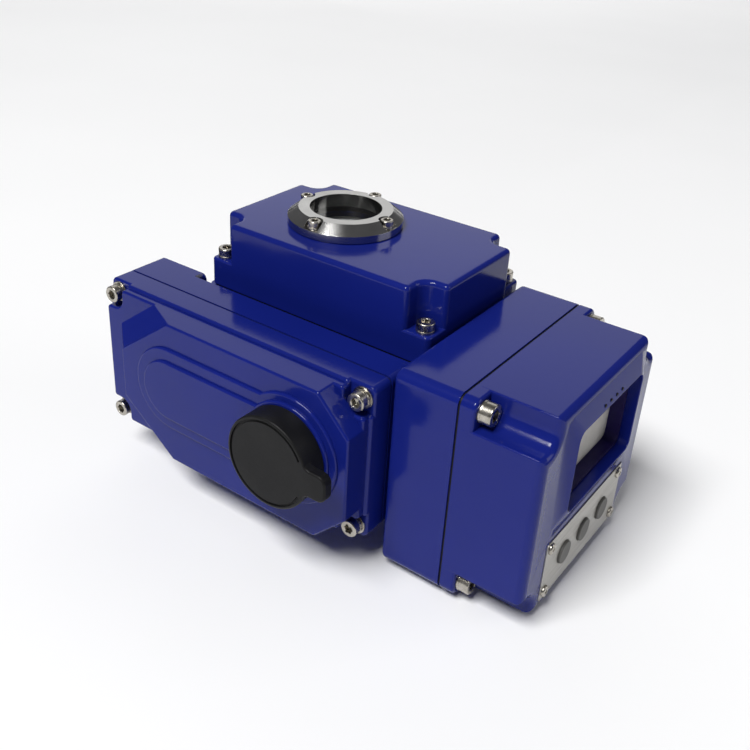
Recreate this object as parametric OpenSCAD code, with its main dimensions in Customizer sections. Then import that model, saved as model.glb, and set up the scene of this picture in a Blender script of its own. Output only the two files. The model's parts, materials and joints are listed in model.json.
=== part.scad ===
// Quarter-turn electric valve actuator.
// The origin is on the output axis, at the valve mounting face. +Z is up,
// +X points to the control box and -Y to the gear cover with the hand drive cap.

/* [Valve connection] */
// Side of the square socket for the valve stem
stem_square = 17; // [11:0.5:19]
// Depth of the square socket
stem_depth = 38; // [20:1:40]
// Bolt circle of the valve flange
flange_pcd = 70; // [66:1:74]
// Diameter of the tapped holes in the valve flange
flange_hole_d = 6.8; // [5:0.1:7.5]
// Depth of the tapped holes in the valve flange
flange_hole_depth = 13; // [8:1:14]
// Diameter of the centring recess under the base
spigot_d = 55; // [50:1:57]
// Depth of the centring recess
spigot_depth = 3; // [2:0.5:4]

/* [Output sleeve] */
// Diameter of the lower journal of the sleeve
sleeve_d = 36; // [32:1:38]
// Diameter of the collar that carries the worm wheel
collar_d = 48; // [46:1:50]
// Diameter of the seat in the worm wheel
wheel_seat_d = 38; // [34:1:40]
// Diameter of the upper journal
upper_journal_d = 30; // [26:1:32]
// Diameter of the spindle above the deck
spindle_d = 12; // [10:1:14]
// Wall of the bronze bushes
bush_t = 4; // [3:0.5:5]
// Thickness of the bush flange
bush_flange_t = 2; // [1.5:0.5:3]
// Running clearance of shafts, on the radius
run_gap = 0.05; // [0.02:0.01:0.1]

/* [Worm drive] */
// Teeth of the worm wheel
wheel_teeth = 30; // [26:1:33]
// Module of the worm wheel
wheel_module = 2.1; // [1.9:0.05:2.3]
// Width of the worm wheel
wheel_w = 16; // [12:1:18]
// Pitch diameter of the worm
worm_pitch_d = 27; // [24:0.5:30]
// Height of the worm thread
thread_h = 2.9; // [2.4:0.1:3.2]
// Radial gap in the worm mesh
mesh_gap = 0.4; // [0.3:0.05:0.6]
// Length of the worm thread
worm_len = 34; // [28:1:38]
// Height of the worm axis above the mounting face
worm_z = 62.5; // [60:0.5:66]
// Diameter of the worm shaft beside the thread
worm_shaft_d = 17; // [15:0.5:19]
// Diameter of the bearing journals
journal_d = 12; // [10:1:14]
// Outer diameter of the worm bearings
bearing_d = 28; // [26:1:30]
// Width of the worm bearings
bearing_w = 8; // [7:0.5:10]
// Diameter of the shaft at the seal
hand_shaft_d = 10; // [9:0.5:11]
// Width across the flats of the hand drive hexagon
hand_hex = 8; // [6:0.5:8.5]
// Length of the hand drive hexagon
hand_hex_len = 12; // [8:1:13]

/* [Spur gears] */
// Module of the spur gears
gear_module = 1.5; // [1.3:0.05:1.6]
// Teeth of the gear on the worm shaft
worm_gear_teeth = 32; // [28:2:34]
// Teeth of the small idler
small_idler_teeth = 20; // [18:2:22]
// Teeth of the large idler
large_idler_teeth = 32; // [28:4:32]
// Teeth of the motor pinion
pinion_teeth = 14; // [12:1:15]
// Face width of the spur gears
gear_w = 8; // [6:0.5:8.5]
// Backlash on the pitch circle
backlash = 0.35; // [0.25:0.05:0.5]
// Diameter of the idler pins
idler_pin_d = 8; // [6:0.5:10]
// Diameter of the gear hubs
hub_d = 20; // [17:0.5:22]

/* [Motor] */
// Diameter of the motor
motor_d = 28; // [24:1:29]
// Length of the motor behind the gear wall
motor_len = 80; // [60:1:85]
// Diameter of the motor flange
motor_flange_d = 31.6; // [31:0.2:32]
// Thickness of the motor flange
motor_flange_t = 2.5; // [2:0.5:3.5]
// Diameter of the motor shaft
motor_shaft_d = 6; // [5:0.5:8]
// Length of the motor shaft inside the motor
motor_shaft_len = 19.5; // [16:0.5:24]

/* [Housing] */
// Wall of the gear chamber
wall = 6; // [5:0.5:7]
// Thickness of the base plate
base_t = 16; // [15:0.5:18]
// Room between the worm wheel and the long walls
wheel_room = 2.1; // [1.5:0.1:5]
// Room between the worm wheel and the left wall
left_room = 13; // [11:0.5:18]
// Room between the worm and the right wall
right_room = 12; // [10:0.5:16]
// Room between the worm and the deck plate
deck_room = 2.95; // [2:0.05:5]
// Thickness of the deck plate
deck_t = 8; // [6:0.5:10]
// Depth of the deck plate below the housing rim
deck_sink = 2; // [1:0.5:4]
// How far the housing rim stands out past the top cover
rim_lip = 2; // [1:0.5:3]
// Height of the housing rim
rim_h = 8; // [5:0.5:10]

/* [Gear case] */
// Gap between the gear case and the chamber wall
case_gap = 11; // [9:0.5:14]
// Thickness of the gear case wall
web_t = 10; // [9.5:0.5:12]
// Depth of the gear recess in the gear case
recess_depth = 5; // [4:0.5:6]
// Length of the gear case past the chamber on the left
case_left = 30.4; // [28:0.2:36]
// Height of the gear case above the worm axis
case_up = 35.2; // [34:0.2:40]
// Depth of the gear case below the worm axis
case_down = 42.5; // [40:0.5:46]
// Wall of the gear case
case_wall = 4.5; // [4:0.25:6]
// Corner chamfer of the gear recess in the housing
case_chamfer = 12; // [10:0.5:12.5]
// Corner chamfer of the gear recess in the cover
recess_chamfer = 16; // [15.5:0.5:18]
// Inset of the gear cover screws from the sides
case_inset = 6; // [5.6:0.2:6.4]
// Thickness of the gaskets
gasket_t = 1; // [0.6:0.1:1.6]

/* [Gear cover] */
// Thickness of the cover rim
rim_t = 13; // [11:0.5:15]
// Height of the step on the rim
step_t = 3.5; // [2.5:0.5:5]
// Inset of the step from the rim
step_inset = 1.6; // [1:0.1:2.5]
// Height of the raised block above the step
block_h = 10; // [8:0.5:12]
// Width of the bevel round the left end of the block
block_slope = 11; // [8:0.5:12]
// Distance of the left end of the block from the rim
block_left = 22; // [20:0.5:24]
// Length of the left corner cuts of the block
left_cut_x = 32; // [26:0.5:36]
// Height of the left corner cuts of the block
left_cut_z = 24; // [18:0.5:26]
// Size of the right corner cuts of the block
right_cut = 16.5; // [12:0.5:18]
// Wall of the raised block
block_wall = 4; // [3:0.5:5]
// Height of each relief step on the block
relief_h = 1.5; // [1:0.25:2.5]
// Half height of the outer relief
relief_outer = 21.5; // [18:0.5:23]
// Half height of the inner relief
relief_inner = 15.5; // [12:0.5:17]
// Distance of the left relief centre from the large idler
relief_shift = 6; // [2:0.5:10]
// Radius of the outer boss round the hand drive
boss_outer_r = 26.5; // [25:0.5:28]
// Radius of the inner boss round the hand drive
boss_inner_r = 23; // [22.5:0.25:24]
// Depth of the screw pockets in the rim
pocket_sink = 2; // [1:0.25:3]
// Room round the screw axes that the pockets add
pocket_room = 0.6; // [0.4:0.1:1]
// Diameter of the shaft seal
seal_d = 18; // [16:0.5:20]
// Thickness of the shaft seal
seal_t = 4; // [3:0.5:5]

/* [Hand drive cap] */
// Diameter of the cap
cap_d = 43.5; // [41:0.5:44.5]
// Height of the cap
cap_h = 12; // [10:0.5:15]
// Diameter of the plug behind the cap
cap_plug_d = 34; // [30:0.5:36]
// Length of the plug
cap_plug_len = 6.5; // [4:0.5:7]
// Wall of the cap
cap_wall = 3.5; // [2.5:0.25:4]
// Length of the pull tab past the cap
tab_len = 9.5; // [6:0.5:12]
// Width of the pull tab
tab_w = 13; // [10:0.5:16]
// Thickness of the pull tab
tab_t = 5; // [3:0.5:6]
// Diameter of the groove in the cap face
cap_groove_d = 39.5; // [34:0.5:40]
// Width of the groove in the cap face
cap_groove_w = 1.2; // [0.8:0.1:2]
// Depth of the groove in the cap face
cap_groove_t = 0.8; // [0.5:0.1:1.2]

/* [Top cover] */
// Height of the top cover
cover_h = 34.7; // [32:0.1:40]
// Height of the screw feet
foot_h = 14; // [10:0.5:18]
// Size of the corner notches
notch = 12.5; // [11.5:0.5:14]
// Radius of the mouths of the corner notches
mouth_r = 2; // [1:0.25:2.5]
// Inset of the top cover screws from the sides
cover_inset = 5.6; // [5:0.2:6.2]
// Thickness of the roof of the top cover
roof_t = 5; // [4:0.5:6]
// Wall of the top cover
cover_wall = 4; // [3:0.5:5]
// Corner radius of the castings
corner_r = 3; // [2:0.5:4]

/* [Indicator] */
// Outer diameter of the window ring
ring_d = 57; // [55:0.5:60]
// Diameter of the flat top of the ring
ring_top_d = 46.5; // [44:0.5:47.5]
// Bore of the ring
ring_bore = 35.5; // [32:0.5:36]
// Height of the ring
ring_h = 8.2; // [7.6:0.2:10]
// Height of the straight edge of the ring
ring_edge = 4; // [3:0.25:4.25]
// Bolt circle of the ring screws
ring_pcd = 49; // [48:0.5:50]
// Gap at each side of a ring screw head
ring_slot_gap = 0.85; // [0.4:0.05:1]
// Diameter of the window glass
glass_d = 38; // [37:0.5:39.5]
// Thickness of the window glass
glass_t = 3; // [2:0.5:4]
// Thickness of the window seal
seal_cord = 1.5; // [1:0.25:2]
// Depth of the glass seat in the roof of the top cover
glass_sink = 3; // [2:0.25:3.5]
// Diameter of the indicator disc
dial_d = 31; // [28:0.5:32]
// Thickness of the indicator disc
dial_t = 2.5; // [1.5:0.5:3]
// Gap between the indicator disc and the glass seat
dial_gap = 2; // [1:0.25:3]
// Length of the pointer on the indicator disc
pointer_len = 26; // [22:0.5:28]
// Width of the pointer
pointer_w = 4.4; // [3.8:0.1:5]
// Height of the pointer
pointer_t = 0.8; // [0.5:0.1:1]
// Thread depth of the ring screws in the cover
ring_grip = 8; // [6:0.5:9]

/* [Position sensing] */
// Module of the sensor gears
sensor_module = 0.8; // [0.7:0.05:0.9]
// Teeth of the gear on the spindle
spindle_gear_teeth = 40; // [36:2:44]
// Teeth of the sensor gear
sensor_gear_teeth = 20; // [18:2:22]
// Thickness of the sensor gears
sensor_gear_w = 4; // [3:0.5:5]
// Diameter of the position sensor
sensor_d = 16; // [14:0.5:18]
// Height of the position sensor
sensor_h = 6; // [5.5:0.1:6.4]
// Diameter of the sensor shaft
sensor_shaft_d = 6; // [4:0.5:6.5]
// Diameter of the switch cams
cam_d = 30; // [26:0.5:32]
// Height of the cam lobe
cam_lobe = 2; // [1:0.25:3]
// Thickness of each cam
cam_t = 4; // [3:0.5:5]
// Space between the cams
cam_gap = 2.5; // [2:0.25:4]
// Length of a limit switch
switch_len = 20; // [16:1:24]
// Depth of a limit switch
switch_dep = 6; // [5:0.5:8]
// Thickness of the switch bracket
bracket_t = 2; // [1.5:0.5:3]

/* [Control box] */
// Gap between the control box and the housing
box_gap = 2.5; // [2:0.25:4]
// Width of the control box
box_w = 112; // [108:1:118]
// Height of the control box
box_h = 100.5; // [98:0.5:106]
// Height of the control box bottom above the mounting face
box_z = 3.5; // [2:0.1:6]
// Offset of the control box middle to the front
box_off = 14.5; // [12:0.5:17]
// Depth of the control box base
base_dep = 30.5; // [28:0.5:36]
// Depth of the control box cover
lid_dep = 38.9; // [37:0.5:46]
// Wall of the control box
box_wall = 4; // [3:0.25:5]
// Back wall of the control box base
back_wall = 5; // [4:0.5:6]
// Width of the screw notches of the control cover
lid_notch_y = 12.2; // [12:0.1:14]
// Height of the screw notches of the control cover
lid_notch_z = 13.6; // [13.2:0.2:15]
// Thickness of the cover under the screw heads
lid_seat = 7; // [5:0.5:9]
// Edge radius of the control box
box_r = 5; // [3:0.5:6]
// Radius inside the notches of the control cover
notch_r = 8.3; // [5:0.1:8.5]
// Radius of the mouths of the notches of the control cover
lid_mouth_r = 0.8; // [0.5:0.1:2.5]
// Inset of the control box pad from the housing sides
pad_side = 9; // [8:0.5:12]
// Height of the pad above the base plate
pad_up = 4; // [2:0.5:6]
// Distance between the bolts that hold the control box
bolt_spread = 26; // [22:1:28]
// Inset of the bolts from the ends of the pad
bolt_inset = 7; // [6.5:0.25:9]
// Thread depth of the control cover screws in the base
lid_grip = 13; // [10:0.5:14]
// Inset of the control cover screws from the sides
lid_inset = 6.6; // [6:0.2:6.8]
// Diameter of the wire passage into the housing
wire_d = 20; // [14:1:24]

/* [Display] */
// Width of the display window
window_w = 64; // [60:0.5:66]
// Height of the display window
window_h = 39.5; // [36:0.5:41]
// Corner radius of the display window
window_r = 4; // [2:0.5:5]
// Distance of the window top from the top of the box
window_drop = 11.5; // [10.5:0.25:13]
// Height of the sloped frame round the window
frame_h = 3.4; // [2:0.2:4.5]
// Width of the sloped frame at its sides
frame_side = 5; // [3:0.5:6]
// Width of the sloped frame at top and bottom
frame_end = 8; // [6:0.25:8.5]
// Depth of the window tunnel
tunnel = 8; // [6.5:0.5:9]
// Wall of the window tunnel
tunnel_wall = 2.5; // [2:0.25:3.5]
// Margin of the black frame inside the window
mask_margin = 1.5; // [1:0.25:3]
// Thickness of the black frame behind the tunnel
mask_t = 5; // [4.5:0.5:8]
// How far the black frame reaches into the tunnel
mask_lip = 2.8; // [1.5:0.1:3.5]
// Clearance of the black frame in the tunnel
mask_gap = 0.2; // [0.1:0.05:0.4]
// Thickness of the display panel
panel_t = 1.5; // [1:0.25:3]
// Diameter of the indicator lights
lamp_d = 2.2; // [1.6:0.1:3]
// Distance between the indicator lights
lamp_pitch = 5.8; // [4:0.2:7]
// Height of the indicator lights above the window
lamp_up = 1.7; // [1.5:0.1:3]

/* [Buttons] */
// Width of the button plate
plate_w = 77; // [72:0.5:80]
// Height of the button plate
plate_h = 31; // [28:0.5:32]
// Thickness of the button plate
plate_t = 1; // [0.6:0.1:1.5]
// Depth of the recess that takes the button plate
plate_sink = 0.6; // [0.3:0.1:0.9]
// Height of the bottom edge of the plate above the box bottom
plate_up = 4.6; // [4:0.1:6]
// Diameter of the buttons
button_d = 10.8; // [9:0.2:13]
// Distance between the buttons
button_pitch = 19.5; // [17:0.5:21]
// How far the buttons stand out of the plate
button_proud = 1.2; // [1.1:0.1:2.5]
// Travel of the buttons
button_travel = 1; // [0.6:0.1:1.2]
// Side clearance of the buttons
button_gap = 0.3; // [0.2:0.05:0.5]
// Inset of the plate screws from the plate edges
plate_inset = 3.8; // [3.4:0.1:4.8]

/* [Circuit boards] */
// Thickness of the circuit boards
board_t = 1.6; // [1:0.2:2]
// Height of the posts that carry the control board
standoff = 10; // [8:0.5:12]
// Diameter of the board posts
post_d = 7; // [6:0.5:8]
// Clearance between the board posts and the bolt heads
post_gap = 1; // [0.5:0.25:2]
// Height of the board posts above and below the middle of the box
post_rise = 27; // [24:0.5:28]
// Margin of the control board outside the post axes
post_edge = 3.6; // [3.2:0.1:4.2]
// Height of the lower display board screws above the box bottom
board_low = 36; // [34:0.5:38]
// Height of the upper display board screws above the box bottom
board_high = 70; // [66:0.5:72]
// Margin of the display board outside its screws
board_edge = 4; // [3.5:0.25:5]
// Number of terminals
ways = 8; // [6:1:9]
// Width of one terminal
way = 6; // [5:0.5:6.5]
// Depth of the terminals
way_dep = 10; // [8:0.5:12]
// Height of the terminals
way_h = 12; // [10:0.5:14]
// Height of the terminals above the lower edge of the control board
way_up = 6.4; // [5:0.2:10]
// Side of the switches behind the buttons
switch_side = 6; // [5:0.25:7]

/* [Cable glands] */
// Thread diameter of the cable glands
gland_d = 20; // [16:1:21]
// Width across the flats of the gland hexagon
gland_hex = 24; // [22:1:25]
// Bore of the gland for the cable
gland_bore = 10; // [8:0.5:12]
// Length of the gland hexagon
gland_hex_len = 7; // [5:0.5:9]
// Length of the gland nut
gland_nut_len = 14; // [10:0.5:18]
// Length of the gland thread inside the box
gland_inner = 4; // [3:0.5:6]
// Length of the gland thread under the nut
gland_thread = 7; // [5:0.5:9]
// Distance between the glands
gland_pitch = 32; // [29:1:40]
// Height of the middle between the glands above the box bottom
gland_up = 45; // [42:0.5:50]

/* [Screws] */
// Shank of the cover screws
screw_d = 5; // [4:0.5:5.5]
// Head diameter of the cover screws
head_d = 8.5; // [8:0.25:9]
// Head height of the cover screws
head_h = 5; // [4:0.5:6]
// Length of the cover screws in the metal
grip = 10; // [7:0.5:10]
// Clearance of screws in through holes, on the radius
screw_gap = 0.25; // [0.1:0.05:0.4]
// Shank of the control cover screws
lid_screw_d = 6; // [5:0.5:6.5]
// Head diameter of the control cover screws
lid_head_d = 10; // [9:0.25:10.5]
// Head height of the control cover screws
lid_head_h = 6; // [5:0.5:7]
// Shank of the ring screws
ring_screw_d = 4; // [3:0.25:4]
// Head diameter of the ring screws
ring_head_d = 6.5; // [6.25:0.25:7]
// Head height of the ring screws
ring_head_h = 4; // [3:0.5:4.5]
// Shank of the small screws
small_screw_d = 3; // [2.5:0.25:3.5]
// Head diameter of the small screws
small_head_d = 5.5; // [5:0.25:6]
// Head height of the small screws
small_head_h = 2.2; // [1.5:0.1:3]
// Head height of the plate screws
plate_head_h = 1.3; // [1:0.1:1.8]
// Length of the small screws
small_len = 6; // [4:0.5:6.5]
// Thickness of the washers
washer_t = 1; // [0.6:0.1:1.4]

/* [Hidden] */
$fn = 64;
eps = 0.01;
BLUE = [0.16, 0.17, 0.52];
STEEL = [0.72, 0.72, 0.7];
DARK = [0.1, 0.1, 0.11];

// Worm drive
wheel_r = wheel_teeth * wheel_module / 2;
thread_a = thread_h / 2;
wheel_tip_r = wheel_r + thread_a;
worm_x = wheel_r + worm_pitch_d / 2;
worm_mid_r = worm_pitch_d / 2 - mesh_gap;
worm_tip_r = worm_mid_r + thread_a;
worm_lead = PI * wheel_module;

// Gear chamber
in_l = -wheel_tip_r - left_room;
in_r = worm_x + worm_tip_r + right_room;
in_y = wheel_tip_r + wheel_room;
out_l = in_l - wall;
out_r = in_r + wall;
out_y = in_y + wall;
deck_z = worm_z + worm_tip_r + deck_room;
deck_top = deck_z + deck_t;
top_z = deck_top + deck_sink;

// Output stack
bush_d = sleeve_d + 2 * bush_t;
bush_top = base_t + bush_flange_t;
wheel_z = worm_z - wheel_w / 2;
wheel_hub_h = 8;
wheel_hub_wall = 7;
shoulder_z = wheel_z - wheel_hub_h;
sleeve_z = spigot_depth + 0.5;
journal_z = wheel_z + wheel_w + 3;
thrust_gap = 0.1;

// Gear case along Y, from the chamber to the cap
case_back = -out_y - case_gap;
web_front = case_back - web_t;
case_face = web_front - recess_depth;
rim_back = case_face - gasket_t;
rim_front = rim_back - rim_t;
case_seat_y = rim_front + pocket_sink;
step_front = rim_front - step_t;
block_front = step_front - block_h;
relief_1 = block_front - relief_h;
relief_2 = relief_1 - relief_h;
cap_front = relief_2 - cap_h;
case_l = out_l - case_left;
case_r = out_r;
case_b = worm_z - case_down;
case_t = worm_z + case_up;

// Gear train, in the plane of the spur gears
gear_back = rim_back - 3;
gear_front = gear_back - gear_w;
hub_back = web_front - 0.4;
small_idler_x = worm_x - gear_module * (worm_gear_teeth + small_idler_teeth) / 2;
large_idler_x = small_idler_x - gear_module * (small_idler_teeth + large_idler_teeth) / 2;
pinion_step = round(0.594 * large_idler_teeth);
pinion_angle = pinion_step * 360 / large_idler_teeth;
pinion_dist = gear_module * (large_idler_teeth + pinion_teeth) / 2;
motor_x = large_idler_x + pinion_dist * cos(pinion_angle);
motor_z = worm_z + pinion_dist * sin(pinion_angle);
clip_t = 1;
clip_d = 14;

// Worm shaft along Y
bearing_gap = 0.5;
front_bearing_y = web_front + bearing_gap;
rear_seat_y = in_y - 2;
rear_bearing_y = rear_seat_y - bearing_w;
boss_d = bearing_d + 6;
boss_y = rear_bearing_y - 1;
cap_bore_y = relief_2 + cap_plug_len + 1;
seal_wall = 3;
seal_back = cap_bore_y + seal_wall + seal_t;
hex_start = cap_bore_y - 1;
hex_end = hex_start - hand_hex_len;

// Motor
motor_bore_gap = 0.5;
shaft_room = 0.5;
motor_wall = 3.5;
motor_back = web_front + motor_len;
ear_out = 2.6;
ear_d = 7.6;

// Top cover
cover_z = top_z + gasket_t;
cover_top = cover_z + cover_h;
foot_top = cover_z + foot_h;
cover_screws = [for (x = [out_l + cover_inset, out_r - cover_inset], y = [-1, 1])
    [x, y * (out_y - cover_inset)]];
post = notch + cover_wall;

// Indicator
glass_seat = cover_top - glass_sink;
glass_z = glass_seat + seal_cord;
glass_gap = 0.15;
dial_z = glass_seat - dial_gap - dial_t;
dial_bore = dial_d + 3;

// Position sensing on the deck
sensor_gear_z = deck_top + 1.5;
sensor_x = -sensor_module * (spindle_gear_teeth + sensor_gear_teeth) / 2;
lower_cam_z = sensor_gear_z + sensor_gear_w + 2;
upper_cam_z = lower_cam_z + cam_t + cam_gap;
cam_reach = cam_d / 2 + cam_lobe;
switch_y = cam_reach + 1;
bracket_y = switch_y + switch_dep;
bracket_top = upper_cam_z + cam_t + 1;
bracket_foot = 10;
bracket_w = switch_len + 4;

// Control box
box_l = out_r + box_gap;
base_r = box_l + base_dep;
lid_l = base_r + gasket_t;
lid_r = lid_l + lid_dep;
box_y0 = -box_off - box_w / 2;
box_y1 = -box_off + box_w / 2;
box_t = box_z + box_h;
lid_seat_x = lid_l + lid_seat;
lid_screws = [for (y = [box_y0 + lid_inset, box_y1 - lid_inset], z = [box_z + lid_inset, box_t - lid_inset])
    [y, z]];
lid_post_y = lid_notch_y + box_wall;
lid_post_z = lid_notch_z + box_wall;
lid_in = lid_r - box_wall;
pad_y = min(out_y, -box_y0) - pad_side;
pad_z0 = base_t + pad_up;
pad_z1 = deck_z;
base_bolts = [for (y = [-0.5, 0.5], z = [pad_z0 + bolt_inset, pad_z1 - bolt_inset]) [y * bolt_spread, z]];
wire_z = (pad_z0 + pad_z1) / 2;

// Display
window_t = box_t - window_drop;
window_b = window_t - window_h;
frame_face = lid_r + frame_h;
tunnel_end = frame_face - tunnel;
mask_back = tunnel_end - mask_t;
board_x = mask_back - board_t;
frame_margin = 1;
lamp_z = window_t + lamp_up;
lamp_sink = 0.1;
lamp_top = lid_r + frame_h * (frame_end - lamp_up) / (frame_end - frame_margin) - lamp_sink;
boss_wide = window_w / 2 + tunnel_wall + 4.5;
board_holes = [for (y = [-1, 1], z = [board_low, board_high]) [-box_off + y * boss_wide, box_z + z]];
control_board_x = box_l + back_wall + standoff;
post_half = box_off + bolt_spread / 2 + lid_head_d / 2 + post_gap + post_d / 2;
control_board_z = box_z + box_h / 2 - post_rise - post_edge;

// Buttons
plate_z = box_z + plate_up + plate_h / 2;
plate_seat = lid_r - plate_sink;
plate_x = plate_seat + plate_t;
plate_edge = 0.4;
plate_holes = [for (y = [-1, 1], z = [-1, 1])
    [-box_off + y * (plate_w / 2 - plate_inset), plate_z + z * (plate_h / 2 - plate_inset)]];
button_y = [for (i = [-1, 0, 1]) -box_off + i * button_pitch];
button_flange_t = 1.2;
button_stem_d = 4;
switch_room = 0.3;
switch_body = 1.6;
button_end = board_x + board_t + switch_body + button_travel + switch_room;

// Cable glands
gland_x = (box_l + back_wall + base_r) / 2 - 1;
gland_zs = [for (i = [-0.5, 0.5]) box_z + gland_up + i * gland_pitch];
gland_neck_d = gland_d - 4;
gland_nut_d = gland_hex - 1;

// Rounded rectangle between two corners
module rounded(x0, y0, x1, y1, r) {
    translate([x0 + r, y0]) square([x1 - x0 - 2 * r, y1 - y0]);
    translate([x0, y0 + r]) square([x1 - x0, y1 - y0 - 2 * r]);
    for (x = [x0 + r, x1 - r], y = [y0 + r, y1 - r]) translate([x, y]) circle(r = r);
}

// Notch at the origin that opens to -X and -Y, with a round inner corner and rounded mouths
module corner_cut(w, h, inner, mouth) {
    translate([-1, -1]) square([w + 1 - inner, h + 1]);
    translate([-1, -1]) square([w + 1, h + 1 - inner]);
    translate([w - inner, h - inner]) circle(r = inner);
    if (mouth > 0) difference() {
        union() {
            translate([w - 1, -1]) square([mouth + 1, mouth + 1]);
            translate([-1, h - 1]) square([mouth + 1, mouth + 1]);
        }
        translate([w + mouth, mouth]) circle(r = mouth);
        translate([mouth, h + mouth]) circle(r = mouth);
    }
}

// Rectangle with its four corners cut at 45 degrees
module clipped(x0, y0, x1, y1, c) {
    polygon([[x0 + c, y0], [x1 - c, y0], [x1, y0 + c], [x1, y1 - c],
        [x1 - c, y1], [x0 + c, y1], [x0, y1 - c], [x0, y0 + c]]);
}

// Prism along Y from an X-Z outline
module along_y(y0, y1) {
    translate([0, y1, 0]) rotate([90, 0, 0]) linear_extrude(y1 - y0) children();
}

// Prism along X from a Y-Z outline
module along_x(x0, x1) {
    translate([x0, 0, 0]) rotate([90, 0, 90]) linear_extrude(x1 - x0) children();
}

// Prism along Z
module along_z(z0, z1) {
    translate([0, 0, z0]) linear_extrude(z1 - z0) children();
}

// Round bar along Y
module rod_y(d, y0, y1) {
    translate([0, y1, 0]) rotate([90, 0, 0]) cylinder(d = d, h = y1 - y0);
}

// Round bar along X
module rod_x(d, x0, x1) {
    translate([x0, 0, 0]) rotate([0, 90, 0]) cylinder(d = d, h = x1 - x0);
}

// Round bar along Z
module rod_z(d, z0, z1) {
    translate([0, 0, z0]) cylinder(d = d, h = z1 - z0);
}

module at_worm() translate([worm_x, 0, worm_z]) children();
module at_small_idler() translate([small_idler_x, 0, worm_z]) children();
module at_large_idler() translate([large_idler_x, 0, worm_z]) children();
module at_motor() translate([motor_x, 0, motor_z]) children();
module at_case_screws() {
    for (x = [case_l + case_inset, case_r - case_inset], z = [case_b + case_inset, case_t - case_inset])
        translate([x, 0, z]) children();
}
module at_cover_screws() for (p = cover_screws) translate([p[0], p[1], 0]) children();
module at_lid_screws() for (p = lid_screws) translate([0, p[0], p[1]]) children();
module at_base_bolts() for (p = base_bolts) translate([0, p[0], p[1]]) children();
module at_board_holes() for (p = board_holes) translate([0, p[0], p[1]]) children();
module at_plate_holes() for (p = plate_holes) translate([0, p[0], p[1]]) children();
module at_glands() for (z = gland_zs) translate([gland_x, 0, z]) children();
module at_ring_screws() for (a = [0:90:270]) rotate([0, 0, a]) translate([ring_pcd / 2, 0, 0]) children();
module at_deck_screws() {
    for (x = [in_l + post - 5, in_r - post + 1], y = [-1, 1])
        translate([x, y * (in_y - 3.5), 0]) children();
}

// Socket head screw along +Z, with its seat at z = 0 and its shank below
module cap_screw(d, head, height, len) {
    difference() {
        union() {
            cylinder(d = head, h = height);
            translate([0, 0, -len]) cylinder(d = d, h = len);
        }
        translate([0, 0, height * 0.45]) cylinder(d = d, h = height, $fn = 6);
    }
}

// Involute spur gear outline with a tooth on +X
function involute(base, t) = base * [cos(t) + t * PI / 180 * sin(t), sin(t) - t * PI / 180 * cos(t)];
function turned(p, a) = [p[0] * cos(a) - p[1] * sin(a), p[0] * sin(a) + p[1] * cos(a)];
module spur(teeth, m) {
    pitch = teeth * m / 2;
    base = pitch * cos(20);
    tip = pitch + 0.85 * m;
    root = pitch - 1.15 * m;
    start = max(base, root + 0.1 * m);
    flare = (tan(20) - 20 * PI / 180) * 180 / PI;
    half = 90 / teeth - backlash / 2 / pitch * 180 / PI + flare;
    flank = [for (i = [0:3]) start + (tip - start) * i / 3];
    right = [for (r = flank) let (t = sqrt(max(0, r * r / base / base - 1)) * 180 / PI)
        turned(involute(base, t), -half)];
    left = [for (i = [3:-1:0]) [right[i][0], -right[i][1]]];
    foot = root * [cos(half), sin(half)];
    tooth = concat([[foot[0], -foot[1]]], right, left, [foot]);
    polygon([for (k = [0:teeth - 1], p = tooth) turned(p, k * 360 / teeth)]);
}

// Ball bearing as a shielded ring along Y from y0
module bearing(y0) {
    shield = 0.6;
    race = 3;
    translate([worm_x, y0 + bearing_w, worm_z]) rotate([90, 0, 0]) difference() {
        cylinder(d = bearing_d, h = bearing_w);
        translate([0, 0, -eps]) cylinder(d = journal_d + 2 * run_gap, h = bearing_w + 2 * eps);
        for (z = [-eps, bearing_w - shield]) translate([0, 0, z]) difference() {
            cylinder(d = bearing_d - race, h = shield + eps);
            translate([0, 0, -eps]) cylinder(d = journal_d + race, h = shield + 3 * eps);
        }
    }
}

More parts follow.
